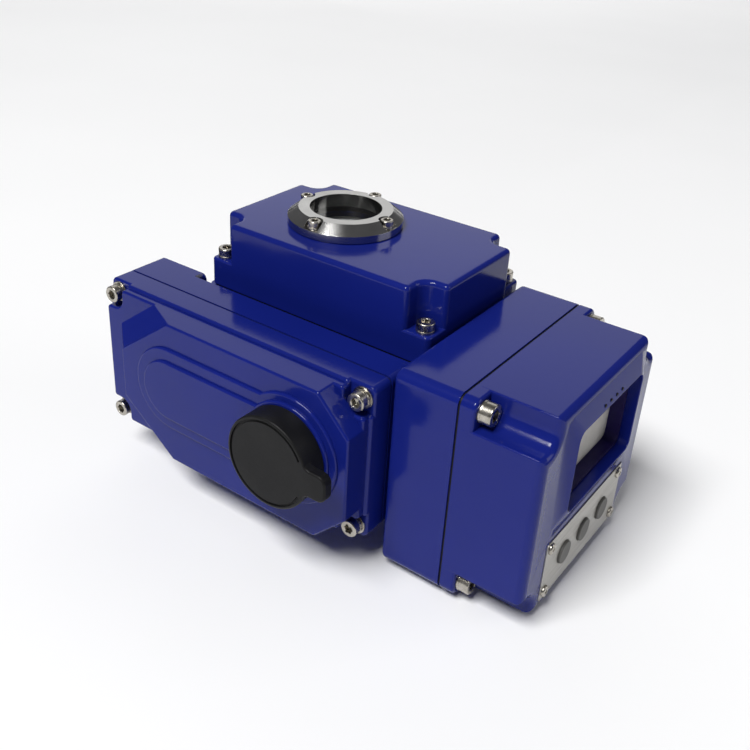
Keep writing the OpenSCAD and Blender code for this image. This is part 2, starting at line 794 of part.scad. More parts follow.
// Housing: gear chamber, gear case wall, motor tube and control box pad in one casting
module main_housing() {
    pocket_top = deck_z - 2;
    pocket_bottom = case_b + case_wall + 2;
    pocket_l = in_l + 2;
    tube_d = motor_d + 2 * (motor_bore_gap + motor_wall);
    ledge_w = 12;
    ledge_h = 9;
    ledge_dep = 7;
    color(BLUE) difference() {
        union() {
            along_z(0, top_z) rounded(out_l, -out_y, out_r, out_y, corner_r);
            along_z(top_z - rim_h, top_z) rounded(out_l - rim_lip, -out_y, out_r, out_y + rim_lip, corner_r);
            along_y(case_face, case_back) rounded(case_l, case_b, case_r, case_t, corner_r);
            along_y(case_back - eps, case_back + case_gap / 2)
                rounded(case_l, case_b, out_l + rim_lip, case_t, corner_r);
            along_y(case_back - eps, 1 - out_y) rounded(out_l, case_b, out_r, top_z, corner_r);
            at_motor() rod_y(tube_d, case_back - eps, motor_back + motor_wall);
            along_x(out_r - eps, box_l) rounded(-pad_y, pad_z0, pad_y, pad_z1, corner_r);
        }
        difference() {
            along_z(base_t, top_z + eps) square_between(in_l, -in_y, in_r, in_y);
            for (p = cover_screws) translate([p[0], p[1], 0]) along_z(base_t - eps, top_z)
                square([notch, notch], center = true);
            for (x = [in_l + post - 5, in_r - post + 1], y = [-1, 1])
                translate([x, y * (in_y - ledge_dep / 2), 0]) along_z(deck_z - ledge_h, deck_z)
                    square([ledge_w, ledge_dep + 2 * eps], center = true);
            at_worm() rod_y(boss_d, boss_y, in_y + eps);
            at_motor() rod_y(tube_d, -in_y - eps, motor_back + motor_wall);
        }
        difference() {
            along_y(case_back, -in_y + eps) square_between(pocket_l, pocket_bottom, in_r, pocket_top);
            at_motor() rod_y(tube_d, case_back - 1, 1 - in_y);
            for (p = cover_screws) translate([p[0], p[1], 0]) along_z(base_t - eps, top_z)
                square([notch, notch], center = true);
        }
        along_y(case_face - eps, web_front) recess(case_chamfer);
        at_worm() rod_y(bearing_d, web_front - eps, front_bearing_y + bearing_w);
        at_worm() rod_y(worm_shaft_d + 4, web_front, case_back + eps);
        at_worm() rod_y(bearing_d, boss_y - eps, rear_seat_y);
        at_motor() rod_y(motor_d + 2 * motor_bore_gap, web_front - eps, motor_back + motor_bore_gap);
        at_small_idler() rod_y(idler_pin_d, web_front - eps, case_back - 2);
        at_large_idler() rod_y(idler_pin_d, web_front - eps, case_back - 2);
        at_motor_screws() rod_y(small_screw_d, web_front - eps, web_front + small_len + 1);
        at_case_screws() rod_y(screw_d, case_face - eps, case_face + grip + 0.5);
        at_cover_screws() rod_z(screw_d, top_z - grip - 0.5, top_z + eps);
        at_deck_screws() rod_z(small_screw_d, deck_z - small_len - 0.5, deck_z + eps);
        at_base_bolts() rod_x(lid_screw_d, box_l - box_gap - wall + 0.5, box_l + eps);
        translate([0, 0, wire_z]) rod_x(wire_d, in_r - eps, box_l + eps);
        rod_z(spigot_d, -eps, spigot_depth);
        rod_z(bush_d, spigot_depth - eps, base_t + eps);
        for (a = [45:90:315]) rotate([0, 0, a]) translate([flange_pcd / 2, 0, 0])
            rod_z(flange_hole_d, -eps, flange_hole_depth);
    }
}

module square_between(x0, y0, x1, y1) translate([x0, y0]) square([x1 - x0, y1 - y0]);
module recess(cut) {
    clipped(case_l + case_wall, case_b + case_wall, case_r - case_wall, case_t - case_wall, cut);
}
module at_motor_screws() {
    for (a = [45, -135]) at_motor() rotate([0, a, 0]) translate([motor_d / 2 + ear_out, 0, 0]) children();
}

module lower_bush() {
    color("peru") difference() {
        union() {
            rod_z(bush_d, spigot_depth, base_t);
            rod_z(collar_d + 2, base_t, bush_top);
        }
        rod_z(sleeve_d + 2 * run_gap, spigot_depth - eps, bush_top + eps);
    }
}

module upper_bush() {
    color("peru") difference() {
        rod_z(upper_journal_d + 2 * bush_t, deck_z, deck_top);
        rod_z(upper_journal_d + 2 * run_gap, deck_z - eps, deck_top + eps);
    }
}

module deck_plate() {
    edge = 0.3;
    color("silver") difference() {
        along_z(deck_z, deck_top) square_between(in_l + edge, edge - in_y, in_r - edge, in_y - edge);
        for (p = cover_screws) translate([p[0], p[1], 0]) along_z(deck_z - eps, deck_top + eps)
            square([notch + 2 * edge, notch + 2 * edge], center = true);
        rod_z(upper_journal_d + 2 * bush_t, deck_z - eps, deck_top + eps);
        translate([sensor_x, 0, 0]) rod_z(sensor_shaft_d + 1, deck_z - eps, deck_top + eps);
        at_deck_screws() rod_z(small_screw_d + 2 * screw_gap, deck_z - eps, deck_top + eps);
        at_deck_screws() rod_z(small_head_d + 1, deck_top - small_head_h, deck_top + eps);
        at_bracket_screws() rod_z(small_screw_d, deck_top - small_len - 0.5, deck_top + eps);
    }
}

module deck_screws() {
    color(STEEL) at_deck_screws() translate([0, 0, deck_top - small_head_h])
        cap_screw(small_screw_d, small_head_d, small_head_h, deck_t - small_head_h + small_len);
}

module output_sleeve() {
    spindle_top = dial_z;
    color("slategray") difference() {
        union() {
            rod_z(sleeve_d, sleeve_z, bush_top + thrust_gap + eps);
            rod_z(collar_d, bush_top + thrust_gap, shoulder_z);
            rod_z(wheel_seat_d, shoulder_z - eps, journal_z);
            rod_z(upper_journal_d, journal_z - eps, deck_top + 0.5);
            rod_z(spindle_d, deck_top, spindle_top);
        }
        along_z(sleeve_z - eps, sleeve_z + stem_depth) square(stem_square, center = true);
    }
}

module worm_wheel() {
    steps = 10;
    color("goldenrod") difference() {
        union() {
            along_z(wheel_z, wheel_z + wheel_w) polygon([for (k = [0:wheel_teeth * steps - 1])
                let (a = k * 360 / wheel_teeth / steps)
                (wheel_r - thread_a * cos(wheel_teeth * a)) * [cos(a), sin(a)]]);
            rod_z(wheel_seat_d + 2 * wheel_hub_wall, shoulder_z, wheel_z + eps);
        }
        rod_z(wheel_seat_d, shoulder_z - eps, wheel_z + wheel_w + eps);
    }
}

module worm_shaft() {
    turns = worm_len / worm_lead;
    color("lightslategray") at_worm() {
        translate([0, -worm_len / 2, 0]) rotate([-90, 0, 0]) rotate([0, 0, 180 - 180 * turns])
            linear_extrude(worm_len, twist = -360 * turns, slices = round(turns * 16), $fn = 16)
                translate([thread_a, 0]) circle(r = worm_mid_r);
        rod_y(worm_shaft_d, front_bearing_y + bearing_w + 0.1, eps - worm_len / 2);
        rod_y(worm_shaft_d, worm_len / 2 - eps, rear_bearing_y - 0.1);
        rod_y(journal_d, rear_bearing_y - 0.2, rear_seat_y - 0.3);
        rod_y(journal_d, gear_front - 1, front_bearing_y + bearing_w + 0.2);
        rod_y(hand_shaft_d, hex_start, gear_front - 1 + eps);
        along_y(hex_end, hex_start + eps) circle(d = hand_hex / cos(30), $fn = 6);
    }
}

module front_bearing() color(STEEL) bearing(front_bearing_y);
module rear_bearing() color(STEEL) bearing(rear_bearing_y);

// Spur gear with a hub, on its own axis along Y
module hub_gear(teeth, bore, phase) {
    difference() {
        union() {
            along_y(gear_front, gear_back) rotate([0, 0, phase]) spur(teeth, gear_module);
            rod_y(hub_d, gear_back - eps, hub_back);
        }
        rod_y(bore, gear_front - eps, hub_back + eps);
    }
}

module worm_gear() color("gainsboro") at_worm() hub_gear(worm_gear_teeth, journal_d, 0);

module small_idler() {
    color("darkgray") at_small_idler()
        hub_gear(small_idler_teeth, idler_pin_d + 2 * run_gap, 180 / small_idler_teeth);
}

module large_idler() {
    color("gainsboro") at_large_idler() hub_gear(large_idler_teeth, idler_pin_d + 2 * run_gap, 0);
}

module idler_pins() {
    color(STEEL) {
        at_small_idler() rod_y(idler_pin_d, gear_front - 2 - clip_t, case_back - 2);
        at_large_idler() rod_y(idler_pin_d, gear_front - 2 - clip_t, case_back - 2);
    }
}

module idler_clips() {
    color(DARK) for (x = [small_idler_x, large_idler_x]) translate([x, 0, worm_z]) difference() {
        rod_y(clip_d, gear_front - 0.3 - clip_t, gear_front - 0.3);
        rod_y(idler_pin_d, gear_front - 1 - clip_t, gear_front);
    }
}

module motor() {
    face = web_front - motor_flange_t;
    color("dimgray") difference() {
        union() {
            at_motor() rod_y(motor_d, web_front - eps, motor_back);
            at_motor() rod_y(motor_flange_d, face, web_front);
            at_motor_screws() rod_y(ear_d, face, web_front);
        }
        at_motor() rod_y(motor_shaft_d + 2 * run_gap, face - eps, web_front + motor_shaft_len + shaft_room);
        at_motor_screws() rod_y(small_screw_d + 2 * screw_gap, face - eps, web_front + eps);
    }
}

module motor_screws() {
    color(STEEL) at_motor_screws() translate([0, web_front - motor_flange_t, 0]) rotate([90, 0, 0])
        cap_screw(small_screw_d, small_head_d, small_head_h, motor_flange_t + small_len);
}

module motor_pinion() {
    color("gainsboro") at_motor() {
        along_y(gear_front, gear_back) rotate([0, 0, pinion_angle - 180 + 180 / pinion_teeth])
            spur(pinion_teeth, gear_module);
        rod_y(motor_shaft_d, gear_back - eps, web_front + motor_shaft_len);
    }
}

module front_gasket() {
    color(DARK) difference() {
        along_y(rim_back, case_face) rounded(case_l, case_b, case_r, case_t, corner_r);
        along_y(rim_back - eps, case_face + eps) recess(case_chamfer);
        at_case_screws() rod_y(screw_d + 2 * screw_gap, rim_back - eps, case_face + eps);
    }
}

// Outline of the raised block of the gear cover; grow moves its left end and left corner cuts out
module block_outline(grow, inset) {
    l = case_l + block_left + inset;
    r = case_r - step_inset - inset;
    b = case_b + step_inset + inset;
    t = case_t - step_inset - inset;
    cut = sqrt(left_cut_x * left_cut_x + left_cut_z * left_cut_z);
    lead = l + left_cut_x - grow * cut / left_cut_z;
    drop = left_cut_z - grow * (cut - left_cut_z) / left_cut_x;
    polygon([[lead, b], [r - right_cut, b], [r, b + right_cut], [r, t - right_cut],
        [r - right_cut, t], [lead, t], [l - grow, t - drop], [l - grow, b + drop]]);
}

// Long relief with round ends, and a larger round boss at the hand drive
module relief(half, boss_r) {
    left = large_idler_x + relief_shift;
    translate([left, worm_z]) circle(r = half);
    translate([left, worm_z - half]) square([worm_x - left, 2 * half]);
    translate([worm_x, worm_z]) circle(r = boss_r);
}

// Corner pockets that let the screw heads sit on the rim
module corner_pocket() {
    pocket = 2 * case_inset + pocket_room;
    for (x = [0, 1], z = [0, 1]) translate([x ? case_r : case_l, z ? case_t : case_b])
        mirror([x, 0]) mirror([0, z]) corner_cut(pocket, pocket, pocket / 2, 0);
}

module front_cover() {
    seal_boss_wall = 4;
    inner_boss_d = seal_d + 2 * seal_boss_wall;
    color(BLUE) difference() {
        union() {
            along_y(rim_front, rim_back) rounded(case_l, case_b, case_r, case_t, corner_r);
            along_y(step_front, rim_front + eps) rounded(case_l + step_inset, case_b + step_inset,
                case_r - step_inset, case_t - step_inset, corner_r);
            hull() {
                along_y(block_front, block_front + eps) block_outline(0, 0);
                along_y(step_front, step_front + eps) block_outline(block_slope, 0);
            }
            along_y(relief_1, block_front + eps) relief(relief_outer, boss_outer_r);
            along_y(relief_2, relief_1 + eps) relief(relief_inner, boss_inner_r);
        }
        along_y(rim_front, rim_back + eps) recess(recess_chamfer);
        difference() {
            along_y(block_front + block_wall, rim_front + eps) block_outline(0, block_wall);
            at_worm() rod_y(inner_boss_d, block_front - eps, seal_back);
            at_worm() rod_y(cap_plug_d + 6, block_front - eps, cap_bore_y + seal_wall);
        }
        along_y(step_front - eps, case_seat_y) corner_pocket();
        along_y(block_front - 2 * relief_h - eps, step_front) corner_pocket();
        at_case_screws() rod_y(screw_d + 2 * screw_gap, case_seat_y - 1, rim_back + eps);
        at_worm() rod_y(cap_plug_d, relief_2 - eps, cap_bore_y);
        at_worm() rod_y(hand_shaft_d + 1, cap_bore_y - eps, seal_back + eps);
        at_worm() rod_y(seal_d, seal_back - seal_t, seal_back + eps);
    }
}

module shaft_seal() {
    color(DARK) at_worm() difference() {
        rod_y(seal_d, seal_back - seal_t, seal_back);
        rod_y(hand_shaft_d + 2 * run_gap, seal_back - seal_t - eps, seal_back + eps);
    }
}

module front_cover_screws() {
    color(STEEL) at_case_screws() translate([0, case_seat_y - washer_t, 0]) rotate([90, 0, 0])
        cap_screw(screw_d, head_d, head_h, washer_t + case_face - case_seat_y + grip);
}

module front_cover_washers() {
    color(STEEL) at_case_screws() difference() {
        rod_y(head_d + 1.5, case_seat_y - washer_t, case_seat_y);
        rod_y(screw_d, case_seat_y - washer_t - eps, case_seat_y + eps);
    }
}

module hand_cap() {
    hollow_end = cap_front + cap_wall;
    plug_end = relief_2 + cap_plug_len;
    fit = 0.1;
    tab_end = cap_d / 2 + tab_len;
    color(DARK) at_worm() difference() {
        union() {
            rod_y(cap_d, cap_front, relief_2);
            rod_y(cap_plug_d - 2 * fit, relief_2 - eps, plug_end);
            along_y(cap_front, cap_front + tab_t) {
                translate([0, -tab_w / 2]) square([tab_end - tab_w / 4, tab_w]);
                rounded(cap_d / 2 - 6, -tab_w / 2, tab_end, tab_w / 2, tab_w / 4);
            }
        }
        rod_y(cap_plug_d - 2 * cap_wall, hollow_end, plug_end + eps);
        difference() {
            rod_y(cap_groove_d + cap_groove_w, cap_front - eps, cap_front + cap_groove_t);
            rod_y(cap_groove_d - cap_groove_w, cap_front - 1, cap_front + cap_groove_t + 1);
            translate([0, cap_front - 1, -tab_w / 2]) cube([cap_d, cap_groove_t + 2, tab_w]);
        }
    }
}

module top_gasket() {
    color(DARK) difference() {
        along_z(top_z, cover_z) rounded(out_l, -out_y, out_r, out_y, corner_r);
        difference() {
            along_z(top_z - eps, cover_z + eps) square_between(in_l + 1, 1 - in_y, in_r - 1, in_y - 1);
            for (p = cover_screws) translate([p[0], p[1], 0]) along_z(top_z - 1, cover_z + 1)
                square([notch, notch], center = true);
        }
        at_cover_screws() rod_z(screw_d + 2 * screw_gap, top_z - eps, cover_z + eps);
    }
}

// Round notch that opens to the outside at each corner of the top cover
module cover_notches(size) {
    for (x = [0, 1], y = [0, 1]) translate([x ? out_r : out_l, y ? out_y : -out_y])
        mirror([x, 0]) mirror([0, y]) corner_cut(size, size, size / 2, mouth_r);
}

module top_cover() {
    ring_hole = ring_grip + 1;
    boss = ring_screw_d + 5;
    color(BLUE) difference() {
        along_z(cover_z, cover_top) rounded(out_l, -out_y, out_r, out_y, corner_r);
        difference() {
            along_z(cover_z - eps, cover_top - roof_t) square_between(out_l + cover_wall, cover_wall - out_y,
                out_r - cover_wall, out_y - cover_wall);
            for (p = cover_screws) translate([p[0], p[1], 0]) along_z(cover_z - 1, cover_top)
                square([post, post], center = true);
            at_ring_screws() rod_z(boss, cover_top - ring_hole - 3, cover_top);
        }
        along_z(foot_top, cover_top + eps) cover_notches(notch);
        at_cover_screws() rod_z(screw_d + 2 * screw_gap, cover_z - eps, foot_top + eps);
        rod_z(dial_bore, cover_top - roof_t - eps, cover_top + eps);
        rod_z(glass_d + 2 * glass_gap, glass_seat, cover_top + eps);
        at_ring_screws() rod_z(ring_screw_d, cover_top - ring_hole, cover_top + eps);
    }
}

module top_cover_screws() {
    color(STEEL) at_cover_screws() translate([0, 0, foot_top])
        cap_screw(screw_d, head_d, head_h, foot_h + gasket_t + grip);
}

module indicator_ring() {
    seat = ring_h - ring_head_h;
    slot = ring_head_d + 2 * ring_slot_gap;
    color("silver") difference() {
        translate([0, 0, cover_top]) rotate_extrude() polygon([[ring_bore / 2, 0], [ring_d / 2 - 0.5, 0],
            [ring_d / 2, 0.5], [ring_d / 2, ring_edge], [ring_top_d / 2, ring_h], [ring_bore / 2, ring_h]]);
        rod_z(glass_d + 2 * glass_gap, cover_top - eps, glass_z + glass_t);
        at_ring_screws() rod_z(ring_screw_d + 2 * screw_gap, cover_top - eps, cover_top + ring_h);
        at_ring_screws() rod_z(slot, cover_top + seat, cover_top + ring_h + eps);
        at_ring_screws() translate([0, -slot / 2, cover_top + seat]) cube([ring_d, slot, ring_h]);
    }
}

module ring_screws() {
    seat = ring_h - ring_head_h;
    color(STEEL) at_ring_screws() translate([0, 0, cover_top + seat])
        cap_screw(ring_screw_d, ring_head_d, ring_head_h, seat + ring_grip);
}

module window_glass() color([0.85, 0.9, 0.92, 0.5]) rod_z(glass_d, glass_z, glass_z + glass_t);

module window_seal() {
    color(DARK) difference() {
        rod_z(glass_d, glass_seat, glass_z);
        rod_z(ring_bore, glass_seat - eps, glass_z + eps);
    }
}

module indicator_dial() {
    pointer_r = 1.8;
    color("whitesmoke") {
        rod_z(dial_d, dial_z, dial_z + dial_t);
        along_z(dial_z + dial_t - eps, dial_z + dial_t + pointer_t)
            rounded(-pointer_len / 2, -pointer_w / 2, pointer_len / 2, pointer_w / 2, pointer_r);
    }
}

module spindle_gear() {
    color("khaki") difference() {
        along_z(sensor_gear_z, sensor_gear_z + sensor_gear_w) spur(spindle_gear_teeth, sensor_module);
        rod_z(spindle_d, sensor_gear_z - eps, sensor_gear_z + sensor_gear_w + eps);
    }
}

module sensor_gear() {
    color("ivory") translate([sensor_x, 0, 0]) {
        along_z(sensor_gear_z, sensor_gear_z + sensor_gear_w) rotate([0, 0, 180 / sensor_gear_teeth])
            spur(sensor_gear_teeth, sensor_module);
        rod_z(sensor_shaft_d, deck_z - 4, sensor_gear_z + eps);
    }
}

module position_sensor() {
    color("steelblue") translate([sensor_x, 0, 0]) difference() {
        rod_z(sensor_d, deck_z - sensor_h, deck_z);
        rod_z(sensor_shaft_d + 2 * run_gap, deck_z - 4.5, deck_z + eps);
    }
}

// Switch cam with one lobe at an angle
module cam(z, angle) {
    difference() {
        union() {
            rod_z(cam_d, z, z + cam_t);
            rotate([0, 0, angle]) translate([cam_d / 2 - 2, 0, 0]) rod_z(2 * (cam_lobe + 2), z, z + cam_t);
        }
        rod_z(spindle_d, z - eps, z + cam_t + eps);
    }
}

module lower_cam() color("tomato") cam(lower_cam_z, 90);
module upper_cam() color("seagreen") cam(upper_cam_z, 0);

module limit_switches() {
    plunger = 3;
    color("black") for (z = [lower_cam_z, upper_cam_z]) {
        translate([-switch_len / 2, switch_y, z]) cube([switch_len, switch_dep, cam_t]);
        translate([0, switch_y - 0.5, z + cam_t / 2]) rod_y(plunger, 0, 0.5 + eps);
    }
}

module switch_bracket() {
    color("silver") difference() {
        union() {
            translate([-bracket_w / 2, bracket_y, deck_top])
                cube([bracket_w, bracket_t, bracket_top - deck_top]);
            translate([-bracket_w / 2, bracket_y, deck_top]) cube([bracket_w, bracket_foot, bracket_t]);
        }
        at_bracket_screws() rod_z(small_screw_d + 2 * screw_gap, deck_top - eps, deck_top + bracket_t + eps);
    }
}

module at_bracket_screws() {
    for (x = [-1, 1]) translate([x * (switch_len / 2 - 2), bracket_y + bracket_foot - 4, 0]) children();
}

module bracket_screws() {
    color(STEEL) at_bracket_screws() translate([0, 0, deck_top + bracket_t])
        cap_screw(small_screw_d, small_head_d, small_head_h, bracket_t + small_len);
}

module control_base() {
    color(BLUE) difference() {
        along_x(box_l, base_r) rounded(box_y0, box_z, box_y1, box_t, box_r);
        difference() {
            along_x(box_l + back_wall, base_r + eps) square_between(box_y0 + box_wall, box_z + box_wall,
                box_y1 - box_wall, box_t - box_wall);
            for (p = lid_screws) translate([0, p[0], p[1]]) along_x(box_l, base_r)
                square([lid_post_y, lid_post_z], center = true);
            at_board_posts() rod_x(post_d, box_l, control_board_x);
        }
        at_lid_screws() rod_x(lid_screw_d, base_r - lid_grip - 1, base_r + eps);
        at_base_bolts() rod_x(lid_screw_d + 2 * screw_gap, box_l - eps, box_l + back_wall + eps);
        translate([0, 0, wire_z]) rod_x(wire_d, box_l - eps, box_l + back_wall + eps);
        at_board_posts() rod_x(small_screw_d, control_board_x - small_len, base_r);
        at_glands() rod_y(gland_d, box_y1 - box_wall - gland_inner - eps, box_y1 + eps);
    }
}

module at_board_posts() {
    for (y = [-1, 1], z = [-1, 1])
        translate([0, -box_off + y * post_half, box_z + box_h / 2 + z * post_rise]) children();
}

module control_base_bolts() {
    color(STEEL) at_base_bolts() translate([box_l + back_wall, 0, 0]) rotate([0, 90, 0])
        cap_screw(lid_screw_d, lid_head_d, lid_head_h, back_wall + box_gap + wall - 1);
}

module control_gasket() {
    color(DARK) difference() {
        along_x(base_r, lid_l) rounded(box_y0, box_z, box_y1, box_t, box_r);
        difference() {
            along_x(base_r - eps, lid_l + eps) square_between(box_y0 + box_wall, box_z + box_wall,
                box_y1 - box_wall, box_t - box_wall);
            for (p = lid_screws) translate([0, p[0], p[1]]) along_x(base_r - 1, lid_l + 1)
                square([lid_post_y, lid_post_z], center = true);
        }
        at_lid_screws() rod_x(lid_screw_d + 2 * screw_gap, base_r - eps, lid_l + eps);
    }
}

// Corner notches of the control cover
module lid_notches(extra, mouth) {
    for (y = [0, 1], z = [0, 1]) translate([y ? box_y1 : box_y0, z ? box_t : box_z])
        mirror([y, 0]) mirror([0, z]) corner_cut(lid_notch_y + extra, lid_notch_z + extra, notch_r, mouth);
}

module window_outline(margin) {
    rounded(-box_off - window_w / 2 - margin, window_b - margin, -box_off + window_w / 2 + margin,
        window_t + margin, window_r);
}

// Four-sided frame outline that grows away from the window
module frame_outline(k) {
    half = window_w / 2 + frame_margin + frame_side * k;
    end = frame_margin + (frame_end - frame_margin) * k;
    square_between(-box_off - half, window_b - end, -box_off + half, window_t + end);
}

module control_cover() {
    boss = small_screw_d + 4;
    color(BLUE) difference() {
        union() {
            difference() {
                along_x(lid_l, lid_r) rounded(box_y0, box_z, box_y1, box_t, box_r);
                difference() {
                    along_x(lid_l - eps, lid_in) square_between(box_y0 + box_wall, box_z + box_wall,
                        box_y1 - box_wall, box_t - box_wall);
                    along_x(lid_l - 1, lid_r) lid_notches(box_wall, 0);
                }
                along_x(lid_seat_x, lid_r + eps) lid_notches(0, lid_mouth_r);
            }
            hull() {
                along_x(lid_r - eps, lid_r) frame_outline(1);
                along_x(frame_face - eps, frame_face) frame_outline(0);
            }
            along_x(tunnel_end, lid_r) window_outline(tunnel_wall);
            at_board_holes() rod_x(boss, board_x + board_t, lid_in + eps);
        }
        along_x(tunnel_end - eps, frame_face + eps) window_outline(0);
        at_lid_screws() rod_x(lid_screw_d + 2 * screw_gap, lid_l - eps, lid_seat_x + eps);
        at_board_holes() rod_x(small_screw_d, board_x, board_x + board_t + small_len);
        at_lamps() rod_x(lamp_d, lid_in - eps, frame_face);
        for (y = button_y) translate([0, y, plate_z])
            rod_x(button_d + 2 * button_gap, lid_in - eps, lid_r + eps);
        at_plate_holes() rod_x(small_screw_d, lid_in + 0.5, lid_r + eps);
        along_x(plate_seat, frame_face + eps) plate_outline(plate_edge);
    }
}

module plate_outline(margin) {
    half = plate_w / 2 + margin;
    rise = plate_h / 2 + margin;
    rounded(-box_off - half, plate_z - rise, -box_off + half, plate_z + rise, 1);
}

module at_lamps() for (i = [-1.5:1:1.5]) translate([0, -box_off + i * lamp_pitch, lamp_z]) children();

module control_cover_screws() {
    color(STEEL) at_lid_screws() translate([lid_seat_x, 0, 0]) rotate([0, 90, 0])
        cap_screw(lid_screw_d, lid_head_d, lid_head_h, lid_seat + gasket_t + lid_grip);
}

module control_board() {
    x = control_board_x;
    half = post_half + post_edge;
    top = control_board_z + 2 * (post_rise + post_edge);
    color("darkgreen") difference() {
        along_x(x, x + board_t) rounded(-box_off - half, control_board_z, -box_off + half, top, 2);
        at_board_posts() rod_x(small_screw_d + 2 * screw_gap, x - eps, x + board_t + eps);
    }
}

module terminal_block() {
    clamp_d = way - 2;
    clamp_depth = 4;
    x = control_board_x + board_t;
    color("darkseagreen") for (i = [0:ways - 1])
        translate([x, -box_off + (i - ways / 2) * way, control_board_z + way_up]) difference() {
            cube([way_dep, way, way_h]);
            translate([way_dep - clamp_depth, way / 2, way_h / 2]) rod_x(clamp_d, 0, clamp_depth + 1);
        }
}

module display_board() {
    mid = window_w / 2 + 2;
    half = boss_wide + board_edge;
    edge = box_wall + board_edge;
    color("darkgreen") difference() {
        along_x(board_x, board_x + board_t) {
            rounded(-box_off - mid, box_z + edge, -box_off + mid, box_t - edge, 2);
            rounded(-box_off - half, box_z + board_low - board_edge, -box_off + half,
                box_z + board_high + board_edge, 2);
        }
        at_board_holes() rod_x(small_screw_d + 2 * screw_gap, board_x - eps, board_x + board_t + eps);
    }
}

module board_screws() {
    x = control_board_x + board_t;
    color(STEEL) {
        at_board_holes() translate([board_x, 0, 0]) rotate([0, -90, 0])
            cap_screw(small_screw_d, small_head_d, small_head_h, board_t + small_len - 1);
        at_board_posts() translate([x, 0, 0]) rotate([0, 90, 0])
            cap_screw(small_screw_d, small_head_d, small_head_h, board_t + small_len - 1);
    }
}

module display_panel() {
    color("lightgray") along_x(mask_back, mask_back + panel_t) window_outline(-mask_margin);
}

module display_mask() {
    color("black") difference() {
        union() {
            along_x(mask_back, tunnel_end) window_outline(tunnel_wall);
            along_x(tunnel_end - eps, tunnel_end + mask_lip) window_outline(-mask_gap);
        }
        along_x(mask_back - eps, tunnel_end + mask_lip + eps) window_outline(-mask_margin);
    }
}

module indicator_lights() color("dimgray") at_lamps() rod_x(lamp_d, lid_in, lamp_top);

module button_plate() {
    color("lightgray") difference() {
        along_x(plate_seat, plate_x) plate_outline(0);
        for (y = button_y) translate([0, y, plate_z])
            rod_x(button_d + 2 * button_gap, plate_seat - eps, plate_x + eps);
        at_plate_holes() rod_x(small_screw_d + 2 * screw_gap, plate_seat - eps, plate_x + eps);
    }
}

module plate_screws() {
    color(STEEL) at_plate_holes() translate([plate_x, 0, 0]) rotate([0, 90, 0])
        cap_screw(small_screw_d, small_head_d, plate_head_h, plate_t + box_wall - plate_sink - 1);
}

// Push button with a flange behind the cover and a stem to its switch
module button(y) {
    color("gray") translate([0, y, plate_z]) {
        rod_x(button_d, lid_in - button_gap - eps, plate_x + button_proud);
        rod_x(button_d + 3, lid_in - button_gap - button_flange_t, lid_in - button_gap);
        rod_x(button_stem_d, button_end, lid_in - button_gap - button_flange_t + eps);
    }
}

module left_button() button(button_y[0]);
module middle_button() button(button_y[1]);
module right_button() button(button_y[2]);

module button_switches() {
    side = switch_side;
    color("black") for (y = button_y)
        translate([board_x + board_t, y - side / 2, plate_z - side / 2]) cube([switch_body, side, side]);
}

module gland_bodies() {
    start = box_y1 - box_wall - gland_inner;
    neck = box_y1 + gland_hex_len;
    color(DARK) at_glands() difference() {
        union() {
            rod_y(gland_d, start, box_y1 + eps);
            along_y(box_y1, neck) circle(d = gland_hex / cos(30), $fn = 6);
            rod_y(gland_neck_d, neck - eps, neck + gland_thread);
        }
        rod_y(gland_bore, start - eps, neck + gland_thread + eps);
    }
}

module gland_nuts() {
    start = box_y1 + gland_hex_len;
    dome = 3;
    color(DARK) at_glands() translate([0, start, 0]) rotate([-90, 0, 0]) difference() {
        union() {
            cylinder(d = gland_nut_d, h = gland_nut_len - dome);
            translate([0, 0, gland_nut_len - dome - eps])
                cylinder(d1 = gland_nut_d, d2 = gland_nut_d - 2 * dome, h = dome + eps);
        }
        translate([0, 0, -eps]) cylinder(d = gland_neck_d, h = gland_thread + eps);
        translate([0, 0, -eps]) cylinder(d = gland_bore, h = gland_nut_len + 2 * eps);
    }
}

main_housing();
lower_bush();
upper_bush();
deck_plate();
deck_screws();
output_sleeve();
worm_wheel();
worm_shaft();
front_bearing();
rear_bearing();
worm_gear();
small_idler();
large_idler();
idler_pins();
idler_clips();
motor();
motor_screws();
motor_pinion();
front_gasket();
front_cover();
shaft_seal();
front_cover_screws();
front_cover_washers();
hand_cap();
top_gasket();
top_cover();
top_cover_screws();
indicator_ring();
ring_screws();
window_glass();
window_seal();
indicator_dial();
spindle_gear();
sensor_gear();
position_sensor();
lower_cam();
upper_cam();
limit_switches();
switch_bracket();
bracket_screws();
control_base();
control_base_bolts();
control_gasket();
control_cover();
control_cover_screws();
control_board();
terminal_block();
display_board();
board_screws();
display_panel();
display_mask();
indicator_lights();
button_plate();
plate_screws();
left_button();
middle_button();
right_button();
button_switches();
gland_bodies();
gland_nuts();
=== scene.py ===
import json
import math

import bmesh
import bpy
from mathutils import Matrix, Vector


